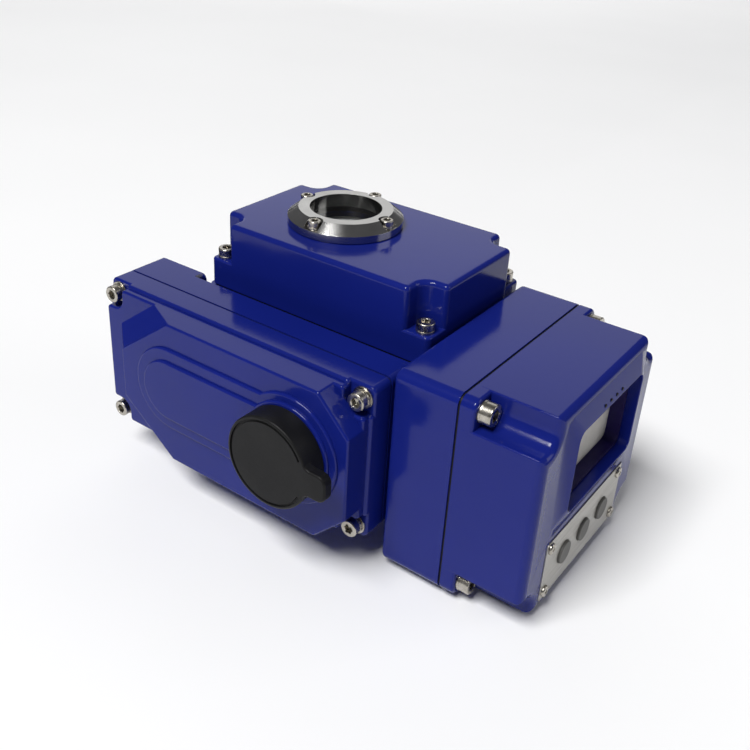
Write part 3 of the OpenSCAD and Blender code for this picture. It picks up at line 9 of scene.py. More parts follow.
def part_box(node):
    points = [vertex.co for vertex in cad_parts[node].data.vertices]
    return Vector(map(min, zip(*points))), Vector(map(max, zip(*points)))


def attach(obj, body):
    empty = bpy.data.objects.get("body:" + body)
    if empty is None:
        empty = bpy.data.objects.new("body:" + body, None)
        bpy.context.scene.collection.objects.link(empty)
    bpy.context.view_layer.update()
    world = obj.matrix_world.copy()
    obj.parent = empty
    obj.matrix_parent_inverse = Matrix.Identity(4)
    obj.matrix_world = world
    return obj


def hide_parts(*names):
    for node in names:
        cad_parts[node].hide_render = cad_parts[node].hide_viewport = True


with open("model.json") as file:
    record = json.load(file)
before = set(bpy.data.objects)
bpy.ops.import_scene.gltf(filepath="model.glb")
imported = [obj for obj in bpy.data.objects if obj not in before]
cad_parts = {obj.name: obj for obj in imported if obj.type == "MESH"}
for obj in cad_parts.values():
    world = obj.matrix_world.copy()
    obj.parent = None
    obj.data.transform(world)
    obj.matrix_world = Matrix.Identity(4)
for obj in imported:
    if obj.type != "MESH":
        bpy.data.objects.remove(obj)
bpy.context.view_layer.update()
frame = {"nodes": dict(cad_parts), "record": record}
nodes = frame["nodes"]
MM = 0.001
# How far one of two overlapping walls lies behind the other, in millimetres
TUCK = 0.04
# Corner radii of the top cover's, gear case's and control box's flanges, in millimetres
TOP_CORNER, CASE_CORNER, BOX_CORNER = 3.0, 3.0, 5.0
# Points round a circle, and round a hexagon that is joined to one
AROUND = 72
# Faces that meet at more than this angle keep a sharp edge
SHARP = math.radians(38.0)
# For each way a shell faces: the two directions across it and the one along it
PLANES = {"+Z": (0, 1, 2), "+X": (1, 2, 0), "-Y": (0, 2, 1)}


# Camera at the photograph's viewing angle
def make_camera():
    place = Vector((0.26013, -0.35327, 0.30126))
    right = Vector((0.80086, 0.59698, 0.04730))
    down = Vector((0.3152, -0.3530, -0.8809))
    ahead = Vector((-0.50919, 0.72041, -0.47089))
    turn = Matrix((right, -down, -ahead)).transposed().to_4x4()
    data = bpy.data.cameras.new("photo_camera")
    data.sensor_width = 36.0
    data.lens = 45.79
    data.shift_x = 0.024
    data.shift_y = -0.0627
    data.clip_start = 0.01
    data.clip_end = 50.0
    cam = bpy.data.objects.new("photo_camera", data)
    bpy.context.scene.collection.objects.link(cam)
    cam.matrix_world = Matrix.Translation(place) @ turn
    bpy.context.scene.camera = cam


make_camera()


# Node materials
class Mat:
    """A small helper round one node material with a Principled surface."""

    def __init__(self, name):
        self.mat = bpy.data.materials.new(name)
        self.mat.use_nodes = True
        self.tree = self.mat.node_tree
        self.bsdf = self.tree.nodes["Principled BSDF"]
        self.coord = self.tree.nodes.new("ShaderNodeTexCoord").outputs["Object"]

    def node(self, kind, **values):
        n = self.tree.nodes.new(kind)
        for key, value in values.items():
            if key in n.inputs:
                n.inputs[key].default_value = value
            else:
                setattr(n, key, value)
        return n

    def link(self, a, b):
        self.tree.links.new(a, b)

    def stretch(self, scale):
        m = self.node("ShaderNodeMapping")
        m.inputs["Scale"].default_value = scale
        self.link(self.coord, m.inputs["Vector"])
        return m.outputs["Vector"]

    def noise(self, scale, detail, rough=0.55, vector=None):
        n = self.node("ShaderNodeTexNoise", Scale=scale, Detail=detail, Roughness=rough)
        self.link(vector or self.coord, n.inputs["Vector"])
        return n.outputs["Fac"]

    def ramp(self, fac, dark, light, end=0.7):
        """Colour that runs from dark to light while fac runs from start to end."""
        start = 0.3
        r = self.node("ShaderNodeValToRGB")
        first, last = r.color_ramp.elements
        first.position, first.color = start, (*dark, 1.0)
        last.position, last.color = end, (*light, 1.0)
        self.link(fac, r.inputs["Fac"])
        return r.outputs["Color"]

    def span(self, fac, low, high):
        m = self.node("ShaderNodeMapRange")
        m.inputs["To Min"].default_value = low
        m.inputs["To Max"].default_value = high
        self.link(fac, m.inputs["Value"])
        return m.outputs["Result"]

    def bump(self, height, strength, distance, normal=None):
        b = self.node("ShaderNodeBump", Strength=strength, Distance=distance)
        self.link(height, b.inputs["Height"])
        if normal:
            self.link(normal, b.inputs["Normal"])
        return b.outputs["Normal"]

    def set(self, **values):
        for key, value in values.items():
            socket = self.bsdf.inputs[key.replace("_", " ")]
            if hasattr(value, "is_output"):
                self.link(value, socket)
            else:
                socket.default_value = value


def enamel_paint():
    m = Mat("blue_enamel")
    cloud = m.noise(scale=9.0, detail=3.0)
    grain = m.noise(scale=900.0, detail=2.0)
    peel = m.noise(scale=260.0, detail=2.0, rough=0.45)
    colour = m.ramp(cloud, (0.0052, 0.0115, 0.146), (0.0068, 0.0142, 0.173))
    m.set(Base_Color=colour, Roughness=m.span(grain, low=0.09, high=0.17), IOR=1.31)
    fine = m.bump(grain, strength=0.03, distance=0.0002)
    m.set(Normal=m.bump(peel, strength=0.04, distance=0.0006, normal=fine))
    return m.mat


def polished_metal():
    m = Mat("polished_metal")
    turning = m.noise(scale=1600.0, detail=2.0, vector=m.stretch((1.0, 1.0, 0.2)))
    smear = m.noise(scale=60.0, detail=3.0)
    m.set(Base_Color=m.ramp(smear, (0.42, 0.415, 0.40), (0.53, 0.525, 0.51)))
    around = m.node("ShaderNodeTangent", direction_type="RADIAL", axis="Z").outputs["Tangent"]
    m.set(Metallic=1.0, Roughness=m.span(smear, low=0.14, high=0.2))
    m.set(Anisotropic=0.7, Anisotropic_Rotation=0.25, Tangent=around)
    m.set(Normal=m.bump(turning, strength=0.03, distance=0.0001))
    return m.mat


def stainless_metal():
    m = Mat("stainless_screw")
    grain = m.noise(scale=1500.0, detail=3.0)
    tone = m.noise(scale=220.0, detail=3.0)
    m.set(Base_Color=m.ramp(tone, (0.36, 0.335, 0.29), (0.58, 0.55, 0.49), end=0.75))
    m.set(Metallic=1.0, Roughness=m.span(tone, low=0.2, high=0.34))
    m.set(Normal=m.bump(grain, strength=0.08, distance=0.0001))
    return m.mat


def machined_metal(name, dark, light, rough):
    vary = 0.08
    m = Mat(name)
    tone = m.noise(scale=120.0, detail=4.0)
    lines = m.noise(scale=900.0, detail=2.0, vector=m.stretch((1.0, 1.0, 0.15)))
    m.set(Base_Color=m.ramp(tone, dark, light))
    m.set(Metallic=1.0, Roughness=m.span(lines, low=rough - vary, high=rough + vary))
    m.set(Normal=m.bump(lines, strength=0.08, distance=0.0001))
    return m.mat


def brushed_plate_metal():
    m = Mat("brushed_plate")
    lines = m.noise(scale=1400.0, detail=3.0, vector=m.stretch((1.0, 0.03, 1.0)))
    tone = m.noise(scale=30.0, detail=2.0)
    m.set(Base_Color=m.ramp(lines, (0.37, 0.36, 0.335), (0.50, 0.49, 0.46)))
    m.set(Metallic=0.85, Roughness=m.span(tone, low=0.36, high=0.46))
    m.set(Normal=m.bump(lines, strength=0.1, distance=0.0001))
    return m.mat


def matt_solid(name, dark, light, rough, scale=700.0, depth=0.12, ior=1.42):
    vary = 0.07
    m = Mat(name)
    grain = m.noise(scale=scale, detail=3.0)
    tone = m.noise(scale=45.0, detail=4.0)
    m.set(Base_Color=m.ramp(tone, dark, light))
    m.set(Roughness=m.span(grain, low=rough - vary, high=rough + vary), IOR=ior)
    m.set(Normal=m.bump(grain, strength=depth, distance=0.0002))
    return m.mat


def clear_glass():
    m = Mat("clear_glass")
    smear = m.noise(scale=40.0, detail=3.0)
    m.set(Base_Color=m.ramp(smear, (0.30, 0.31, 0.31), (0.34, 0.35, 0.35)))
    m.set(Roughness=m.span(smear, low=0.0, high=0.03), Transmission_Weight=1.0, IOR=1.55)
    return m.mat


def display_surface():
    m = Mat("display_panel")
    cells = m.node("ShaderNodeTexBrick", Scale=900.0)
    cells.inputs["Color1"].default_value = (0.74, 0.72, 0.67, 1.0)
    cells.inputs["Color2"].default_value = (0.70, 0.68, 0.63, 1.0)
    cells.inputs["Mortar"].default_value = (0.64, 0.62, 0.58, 1.0)
    m.link(m.coord, cells.inputs["Vector"])
    glare = m.noise(scale=12.0, detail=2.0)
    m.set(Base_Color=cells.outputs["Color"], Roughness=m.span(glare, low=0.12, high=0.22), IOR=1.5)
    return m.mat


MATERIALS = {
    "enamel": enamel_paint(),
    "polished": polished_metal(),
    "stainless": stainless_metal(),
    "steel": machined_metal("machined_steel", (0.36, 0.37, 0.38), (0.55, 0.56, 0.57), rough=0.33),
    "bronze": machined_metal("machined_bronze", (0.42, 0.25, 0.09), (0.62, 0.42, 0.18), rough=0.33),
    "alloy": machined_metal("machined_alloy", (0.55, 0.56, 0.57), (0.72, 0.73, 0.74), rough=0.38),
    "brushed_plate": brushed_plate_metal(),
    "rubber": matt_solid("black_rubber", (0.005, 0.005, 0.0055), (0.009, 0.009, 0.0095), rough=0.46,
                         scale=520.0, depth=0.16, ior=1.26),
    "glass": clear_glass(),
    "white_plastic": matt_solid("white_plastic", (0.62, 0.62, 0.6), (0.7, 0.7, 0.68), rough=0.45),
    "grey_plastic": matt_solid("grey_plastic", (0.088, 0.087, 0.08), (0.12, 0.118, 0.11), rough=0.5),
    "black_plastic": matt_solid("black_plastic", (0.008, 0.007, 0.012), (0.013, 0.012, 0.019), rough=0.4),
    "board": matt_solid("circuit_board", (0.012, 0.07, 0.025), (0.02, 0.1, 0.035), rough=0.35,
                        scale=300.0),
    "panel": display_surface(),
    "lens": matt_solid("dark_lens", (0.004, 0.004, 0.006), (0.007, 0.007, 0.01), rough=0.5,
                       scale=900.0, depth=0.03, ior=1.1),
}

for part in frame["record"]["subparts"]:
    mesh = nodes[part["node"]].data
    mesh.materials.clear()
    mesh.materials.append(MATERIALS[part["material_slot"]])
# The mask in the window is coloured dark violet instead of black: a painted reflection of the blue enamel
# round it
mask = nodes["display_mask"].data.materials
mask[0] = matt_solid("window_mask_painted_reflection", (0.012, 0.008, 0.062), (0.018, 0.012, 0.082), rough=0.4, ior=1.25)


# Mesh helpers, in millimetres
def outline(corners, steps=7):
    """Dense outline through (u, v, radius) corners, with a tangent arc at each."""
    points = []
    count = len(corners)
    for i, (u, v, radius) in enumerate(corners):
        at = Vector((u, v))
        if radius <= 0:
            points.append(at)
            continue
        to_a = (Vector(corners[i - 1][:2]) - at).normalized()
        to_b = (Vector(corners[(i + 1) % count][:2]) - at).normalized()
        half = to_a.angle(to_b) / 2
        centre = at + (to_a + to_b).normalized() * (radius / math.sin(half))
        start = at + to_a * (radius / math.tan(half)) - centre
        end = at + to_b * (radius / math.tan(half)) - centre
        first = math.atan2(start.y, start.x)
        sweep = (math.atan2(end.y, end.x) - first + math.pi) % (2 * math.pi) - math.pi
        for k in range(steps + 1):
            a = first + sweep * k / steps
            points.append(centre + radius * Vector((math.cos(a), math.sin(a))))
    return points


def circle(u, v, radius, count=AROUND):
    turn = 2 * math.pi / count
    return [Vector((u + radius * math.cos(turn * k), v + radius * math.sin(turn * k)))
            for k in range(count)]


def hexagon(u, v, flats):
    """Hexagon of a given width across its flats, with as many points as a circle."""
    points = []
    for k in range(AROUND):
        a = 2 * math.pi * k / AROUND
        r = flats / 2 / math.cos(a % (math.pi / 3) - math.pi / 6)
        points.append(Vector((u + r * math.cos(a), v + r * math.sin(a))))
    return points


def cross(u, v, arm, half):
    """Cross of four arms, each 2 * half wide."""
    turns = [(half, half), (half, arm), (-half, arm)]
    points = []
    for quarter in range(4):
        c, d = round(math.cos(quarter * math.pi / 2)), round(math.sin(quarter * math.pi / 2))
        points += [Vector((u + c * x - d * y, v + d * x + c * y)) for x, y in turns]
    return points


def rectangle(u0, v0, u1, v1, radius):
    return outline([(u0, v0, radius), (u1, v0, radius), (u1, v1, radius), (u0, v1, radius)])


def notched(u0, v0, u1, v1, notch_u, notch_v, out, deep, margin=0.0):
    """Corners of a rectangle that is notched at all four; margin draws its sides in."""
    corners = []
    for u, v, su, sv in ((u0, v0, 1, 1), (u1, v0, -1, 1), (u1, v1, -1, -1), (u0, v1, 1, -1)):
        inner_u, inner_v = u + su * notch_u, v + sv * notch_v
        side_u, side_v = u + su * margin, v + sv * margin
        three = [(side_u, inner_v, out), (inner_u, inner_v, deep), (inner_u, side_v, out)]
        corners += three if su * sv > 0 else three[::-1]
    return corners


def inset(points, by):
    """Moves a counter-clockwise outline inwards."""
    moved = []
    least = 0.2
    count = len(points)
    for i, p in enumerate(points):
        a = (p - points[i - 1]).normalized()
        b = (points[(i + 1) % count] - p).normalized()
        na, nb = Vector((-a.y, a.x)), Vector((-b.y, b.x))
        moved.append(p + (na + nb) * (by / max(least, 1 + na.dot(nb))))
    return moved


def shrunk(corners, by):
    """Moves the (u, v, radius) corners of a counter-clockwise outline inwards, and fits their arcs."""
    moved = []
    least_radius = 0.05
    count = len(corners)
    for i, (u, v, radius) in enumerate(corners):
        at = Vector((u, v))
        a = (at - Vector(corners[i - 1][:2])).normalized()
        b = (Vector(corners[(i + 1) % count][:2]) - at).normalized()
        na, nb = Vector((-a.y, a.x)), Vector((-b.y, b.x))
        to = at + (na + nb) * (by / (1 + na.dot(nb)))
        outer = a.x * b.y - a.y * b.x > 0
        moved.append((to.x, to.y, max(radius - by, least_radius) if outer else radius + by))
    return moved


def loop(shape, by):
    """Outline moved inwards, from (u, v, radius) corners or from its points."""
    if isinstance(shape[0], tuple):
        return outline(shrunk(shape, by), steps=12)
    return inset(shape, by)


class Shell:
    """Collects lofted loops into one mesh."""

    def __init__(self, axis):
        self.bm = bmesh.new()
        self.u, self.v, self.w = PLANES[axis]

    def ring(self, points, height):
        made = []
        for p in points:
            at = Vector((0.0, 0.0, 0.0))
            at[self.u], at[self.v], at[self.w] = p.x, p.y, height
            made.append(self.bm.verts.new(at * MM))
        return made

    def skin(self, rings):
        for a, b in zip(rings, rings[1:]):
            n = len(a)
            for i in range(n):
                self.bm.faces.new((a[i], a[(i + 1) % n], b[(i + 1) % n], b[i]))

    def cap(self, *rings):
        """Closes one ring, or the flat area between several."""
        if len(rings) == 1:
            self.bm.faces.new(rings[0])
            return
        edges = []
        for r in rings:
            for i, v in enumerate(r):
                w = r[(i + 1) % len(r)]
                edges.append(self.bm.edges.get((v, w)) or self.bm.edges.new((v, w)))
        bmesh.ops.triangle_fill(self.bm, use_beauty=True, use_dissolve=False, edges=edges)

    def rounded_end(self, shape, end, radius, sign, steps=7):
        """Rings of a rounded edge that runs up to height end; sign is the way the end faces."""
        if radius == 0:
            return [self.ring(loop(shape, 0.0), end)]
        rings = []
        for k in range(steps + 1):
            t = math.pi / 2 * k / steps
            height = end - sign * radius * (1 - math.sin(t))
            rings.append(self.ring(loop(shape, radius * (1 - math.cos(t))), height))
        return rings

    def prism(self, shape, start, end, radius=0.0, start_radius=0.0, open_end=False):
        """Prism between two heights with rounded edges; returns its last ring."""
        sign = 1 if end > start else -1
        rings = self.rounded_end(shape, start, start_radius, -sign)[::-1]
        rings += self.rounded_end(shape, end, radius, sign)
        self.skin(rings)
        self.cap(rings[0])
        if not open_end:
            self.cap(rings[-1])
        return rings[-1]

    def socket_screw(self, u, v, seat, top, head, flats):
        """Cap screw head on a lock washer, from its seat to its top face, with a hexagon socket."""
        sign = 1 if top > seat else -1
        washer, washer_edge, groove, slimmer, edge = 1.3, 0.15, 0.22, 0.1, 0.6
        lead, lead_in, socket, tip, tip_r = 0.15, 0.3, 2.6, 0.8, 0.2
        r = head / 2
        split = seat + sign * washer
        rings = self.rounded_end(circle(u, v, r), seat, washer_edge, -sign, steps=2)[::-1]
        rings += self.rounded_end(circle(u, v, r), split, washer_edge, sign, steps=2)
        rings.append(self.ring(circle(u, v, r - groove), split))
        rings.append(self.ring(circle(u, v, r - groove), split + sign * groove))
        rings += self.rounded_end(circle(u, v, r - slimmer), top, edge, sign, steps=5)
        mouth = flats / 2 / math.cos(math.pi / 6) + lead
        rings.append(self.ring(circle(u, v, mouth), top))
        rings.append(self.ring(hexagon(u, v, flats), top - sign * lead_in))
        rings.append(self.ring(hexagon(u, v, flats), top - sign * socket))
        rings.append(self.ring(circle(u, v, tip_r), top - sign * (socket + tip)))
        self.skin(rings)
        self.cap(rings[0])
        self.cap(rings[-1])

    def pan_screw(self, u, v, seat, top, head):
        """Low round screw head with a cross recess."""
        sign = 1 if top > seat else -1
        edge, depth = 0.9, 0.8
        round_head = circle(u, v, head / 2, count=48)
        rings = [self.ring(round_head, seat)]
        rings += self.rounded_end(round_head, top, edge, sign)
        self.skin(rings)
        self.cap(rings[0])
        mouth = self.ring(cross(u, v, arm=1.3, half=0.32), top)
        self.cap(rings[-1], mouth)
        bottom = self.ring(cross(u, v, arm=0.9, half=0.25), top - sign * depth)
        self.skin([mouth, bottom])
        self.cap(bottom)

    def make(self, name, body, slot, replaced):
        bmesh.ops.recalc_face_normals(self.bm, faces=self.bm.faces)
        finished(self.bm, name, body, slot, replaced)


def placed(bm, name, material):
    """Turns a bmesh into an object of the scene."""
    mesh = bpy.data.meshes.new(name)
    bm.to_mesh(mesh)
    bm.free()
    mesh.materials.append(material)
    obj = bpy.data.objects.new(name, mesh)
    bpy.context.scene.collection.objects.link(obj)
    return obj


def finished(bm, name, body, slot, replaced):
    """Turns a bmesh into a shaded object on its body, in place of the CAD nodes that it stands for."""
    obj = placed(bm, name, MATERIALS[slot])
    for p in obj.data.polygons:
        p.use_smooth = True
    obj.data.set_sharp_from_angle(angle=SHARP)
    weight = obj.modifiers.new("even_normals", "WEIGHTED_NORMAL")
    weight.keep_sharp = True
    weight.weight = 80
    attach(obj, body)
    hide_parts(*replaced)


def softened(node, name, body, slot, width, wanted=None):
    """Copy of a CAD node with rounded outer edges; wanted picks edges by their middle, in millimetres.

    The width is an upper limit: the clamp against overlaps narrows the bevel of the whole piece.
    """
    same, flat, turned = 1e-6, math.radians(0.5), math.radians(28)
    bm = bmesh.new()
    bm.from_mesh(nodes[node].data)
    bmesh.ops.remove_doubles(bm, verts=bm.verts, dist=same)
    bmesh.ops.dissolve_limit(bm, angle_limit=flat, verts=bm.verts, edges=bm.edges)
    edges = []
    for e in bm.edges:
        middle = (e.verts[0].co + e.verts[1].co) / 2 / MM
        outer = e.is_manifold and e.is_convex and e.calc_face_angle() > turned
        if outer and (wanted is None or wanted(middle)):
            edges.append(e)
    bmesh.ops.bevel(bm, geom=edges, offset=width * MM, offset_type="OFFSET", segments=3, profile=0.5,
                    affect="EDGES", clamp_overlap=True)
    bmesh.ops.dissolve_degenerate(bm, dist=same, edges=bm.edges)
    finished(bm, name, body, slot, [node])


def limits(node):
    """Lowest and highest corner of a CAD node, in millimetres."""
    low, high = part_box(node)
    return low / MM, high / MM


def hand_drive():
    """Place in X and Z of the hand drive's axis, on which the worm gear turns."""
    low, high = limits("worm_gear")
    return (low.x + high.x) / 2, (low.z + high.z) / 2


# Top cover: low feet at the corners and a notched body with a round window
def top_cover():
    low, high = limits("top_cover")
    foot_t, foot_edge, seam_edge = 14.0, 1.2, 0.2
    notch, out, deep, edge, lap = 12.5, 2.4, 6.2, 2.5, 1.0
    glass_gap, hole_r, chamber_r, roof_t = 0.15, 17.0, 36.0, 5.0
    shell = Shell("+Z")
    foot = inset(rectangle(low.x, low.y, high.x, high.y, TOP_CORNER), TUCK)
    shell.prism(foot, low.z, low.z + foot_t, radius=foot_edge, start_radius=seam_edge)
    body = outline(notched(low.x, low.y, high.x, high.y, notch, notch, out, deep), steps=9)
    start, ceiling = low.z + lap, high.z - roof_t
    walls = [shell.ring(body, start)] + shell.rounded_end(body, high.z, edge, 1)
    glass_low, glass_high = limits("window_glass")
    seal_low = limits("window_seal")[0]
    seat = circle(0, 0, (glass_high.x - glass_low.x) / 2 + glass_gap)
    hole, chamber = circle(0, 0, hole_r), circle(0, 0, chamber_r)
    well = [shell.ring(seat, high.z), shell.ring(seat, seal_low.z), shell.ring(hole, seal_low.z),
            shell.ring(hole, ceiling), shell.ring(chamber, ceiling), shell.ring(chamber, start)]
    shell.skin(walls)
    shell.skin(well)
    shell.cap(walls[-1], well[0])
    shell.cap(walls[0], well[-1])
    shell.make("top_cover_shell", "housing", "enamel", ["top_cover"])


# Gear cover: rim, step, block with a bevelled left end, two relief steps and the hand drive recess
def front_cover():
    low, high = limits("front_cover")
    seat = limits("front_cover_washers")[1].y
    cx, cz = hand_drive()
    rim_t, step_t, block_t, relief_t = 2.0, 3.5, 10.0, 1.5
    rim_front = seat - rim_t
    step_front = rim_front - step_t
    block_front = step_front - block_t
    relief_1 = block_front - relief_t
    relief_2 = relief_1 - relief_t
    x0, z0, x1, z1 = low.x, low.z, high.x, high.z
    pocket, out, spare, margin = 12.6, 1.8, 0.2, 1.6
    deep = pocket / 2 - spare
    rim_lap, lap = 1.5, 1.0

    def pocketed(draw_in, size):
        """Outline of the cover with a pocket for a screw at each corner."""
        return outline(notched(x0, z0, x1, z1, size, size, out, deep, draw_in), steps=8)

    shell = Shell("-Y")
    flange = inset(rectangle(x0, z0, x1, z1, CASE_CORNER), TUCK)
    shell.prism(flange, high.y, seat, radius=1.2, start_radius=0.15)
    shell.prism(pocketed(0.0, pocket), seat + rim_lap, rim_front, radius=1.6)
    shell.prism(pocketed(margin, pocket + TUCK), rim_front + rim_lap, step_front, radius=1.2)

    def block(grow):
        """Corners of the block; grow moves its left end and left corner cuts out."""
        left, left_x, left_z, right_cut, soft = 22.0, 32.0, 24.0, 16.5, 1.6
        u0, v0, u1, v1 = x0 + left, z0 + margin, x1 - margin, z1 - margin
        cut = math.hypot(left_x, left_z)
        lead = u0 + left_x - grow * cut / left_z
        drop = left_z - grow * (cut - left_z) / left_x
        corners = [(lead, v0), (u1 - right_cut, v0), (u1, v0 + right_cut), (u1, v1 - right_cut),
                   (u1 - right_cut, v1), (lead, v1), (u0 - grow, v1 - drop), (u0 - grow, v0 + drop)]
        return [(u, v, soft) for u, v in corners]

    bevel, edge = 11.0, 1.1
    foot = loop(block(bevel), 0.0)
    rings = [shell.ring(foot, step_front + lap), shell.ring(foot, step_front)]
    rings += shell.rounded_end(block(0.0), block_front, edge, -1)
    shell.skin(rings)
    shell.cap(rings[0])
    shell.cap(rings[-1])

    def relief(half, boss):
        """Outline of a relief: a round end on the left that runs into a boss round the hand drive."""
        length, steps = 72.0, 48
        left = cx - length
        top = math.asin(half / boss)
        points = []
        for k in range(steps + 1):
            a = math.pi / 2 + math.pi * k / steps
            points.append(Vector((left + half * math.cos(a), cz + half * math.sin(a))))
        for k in range(2 * steps + 1):
            a = -math.pi + top + (2 * math.pi - 2 * top) * k / (2 * steps)
            points.append(Vector((cx + boss * math.cos(a), cz + boss * math.sin(a))))
        return points

    mouth_r, mouth_t, passage_r, passage_t = 17.0, 7.5, 5.5, 6.0
    shell.prism(relief(half=21.5, boss=26.5), block_front + lap, relief_1, radius=1.0)
    inner = relief(half=15.5, boss=23.0)
    last = shell.prism(inner, relief_1 + lap, relief_2, radius=1.0, open_end=True)
    mouth, passage = circle(cx, cz, mouth_r), circle(cx, cz, passage_r, count=48)
    floor_y = relief_2 + mouth_t
    rim = shell.ring(mouth, relief_2)
    shell.cap(last, rim)
    bottom = shell.ring(mouth, floor_y)
    shell.skin([rim, bottom])
    mid = shell.ring(passage, floor_y)
    shell.cap(bottom, mid)
    deep_end = shell.ring(passage, floor_y + passage_t)
    shell.skin([mid, deep_end])
    shell.cap(deep_end)
    shell.make("gear_cover_shell", "housing", "enamel", ["front_cover"])


# Control box base
def control_base():
    low, high = limits("control_base")
    seam_edge, back_edge = 0.15, 2.0
    shell = Shell("+X")
    section = rectangle(low.y, low.z, high.y, high.z, BOX_CORNER)
    shell.prism(section, low.x, high.x, radius=seam_edge, start_radius=back_edge)
    shell.make("control_base_shell", "housing", "enamel", ["control_base"])


# Control box cover: screw lugs, notched body, sloped window frame and plate recess
def control_cover():
    low, high = limits("control_cover")
    panel_low = limits("display_panel")[0]
    plate_low, plate_high = limits("button_plate")
    mask_low, mask_high = limits("display_mask")
    lug_t, lug_edge, seam_edge, lap = 7.0, 1.5, 0.15, 2.0
    notch_y, notch_z, out, deep, edge = 12.2, 13.6, 0.8, 8.3, 4.0
    shell = Shell("+X")
    lugs = inset(rectangle(low.y, low.z, high.y, high.z, BOX_CORNER), TUCK)
    shell.prism(lugs, low.x, low.x + lug_t, radius=lug_edge, start_radius=seam_edge)
    frame_t = 3.4
    face = high.x - frame_t
    body = notched(low.y, low.z, high.y, high.z, notch_y, notch_z, out, deep)
    last = shell.prism(body, low.x + lap, face, radius=edge, open_end=True)

    wall, side, end, crest_w, gap = 2.5, 6.0, 8.0, 1.0, 0.4
    y0, z0, y1, z1 = mask_low.y + wall, mask_low.z + wall, mask_high.y - wall, mask_high.z - wall
    base = rectangle(y0 - side, z0 - end, y1 + side, z1 + end, radius=4.0)
    crest = rectangle(y0 - crest_w, z0 - crest_w, y1 + crest_w, z1 + crest_w, radius=5.0)
    mouth = rectangle(y0, z0, y1, z1, radius=4.0)
    foot = shell.ring(base, face)
    recess = rectangle(plate_low.y - gap, plate_low.z - gap, plate_high.y + gap, plate_high.z + gap,
                       radius=1.2)
    rim = shell.ring(recess, face)
    shell.cap(last, foot, rim)
    sunk = shell.ring(recess, plate_low.x)
    shell.skin([rim, sunk])
    shell.cap(sunk)
    soft, crest_edge, mouth_edge, behind = 0.15, 0.5, 0.6, 1.0
    tunnel = [foot, shell.ring(crest, high.x - soft), shell.ring(inset(crest, crest_edge), high.x),
              shell.ring(inset(mouth, -soft), high.x - soft), shell.ring(mouth, high.x - mouth_edge),
              shell.ring(mouth, panel_low.x - behind)]
    shell.skin(tunnel)
    shell.cap(tunnel[-1])
    shell.make("control_cover_shell", "housing", "enamel", ["control_cover"])


# Screw heads: node, shell axis, head diameter, head height and socket width
SOCKET_SCREWS = [
    ("top_cover_screws", "+Z", 8.5, 5.0, 4.0),
    ("front_cover_screws", "-Y", 8.5, 5.0, 4.0),
    ("control_cover_screws", "+X", 10.0, 6.0, 5.0),
    ("ring_screws", "+Z", 6.5, 4.0, 3.0),
]
# Head diameter and height of the plate screws
PAN_HEAD, PAN_HEIGHT = 5.5, 1.3


def spread(node, axis, head):
    """Head centres of four screws at the corners of their group, and the height of their tops."""
    low, high = limits(node)
    u, v, w = PLANES[axis]
    outer = low if axis == "-Y" else high
    r = head / 2
    centres = [(a, b) for a in (low[u] + r, high[u] - r) for b in (low[v] + r, high[v] - r)]
    return centres, outer[w]


def screws():
    for node, axis, head, height, flats in SOCKET_SCREWS:
        centres, top = spread(node, axis, head)
        if node == "ring_screws":
            # These sit on the two axes of the window instead
            reach = centres[-1][0]
            centres = [(reach, 0.0), (0.0, reach), (-reach, 0.0), (0.0, -reach)]
        seat = top + height if axis == "-Y" else top - height
        shell = Shell(axis)
        for u, v in centres:
            shell.socket_screw(u, v, seat, top, head, flats)
        shell.make(node + "_heads", "housing", "stainless", [node])
    centres, top = spread("plate_screws", "+X", PAN_HEAD)
    shell = Shell("+X")
    for u, v in centres:
        shell.pan_screw(u, v, top - PAN_HEIGHT, top, PAN_HEAD)
    shell.make("plate_screws_heads", "housing", "stainless", ["plate_screws"])


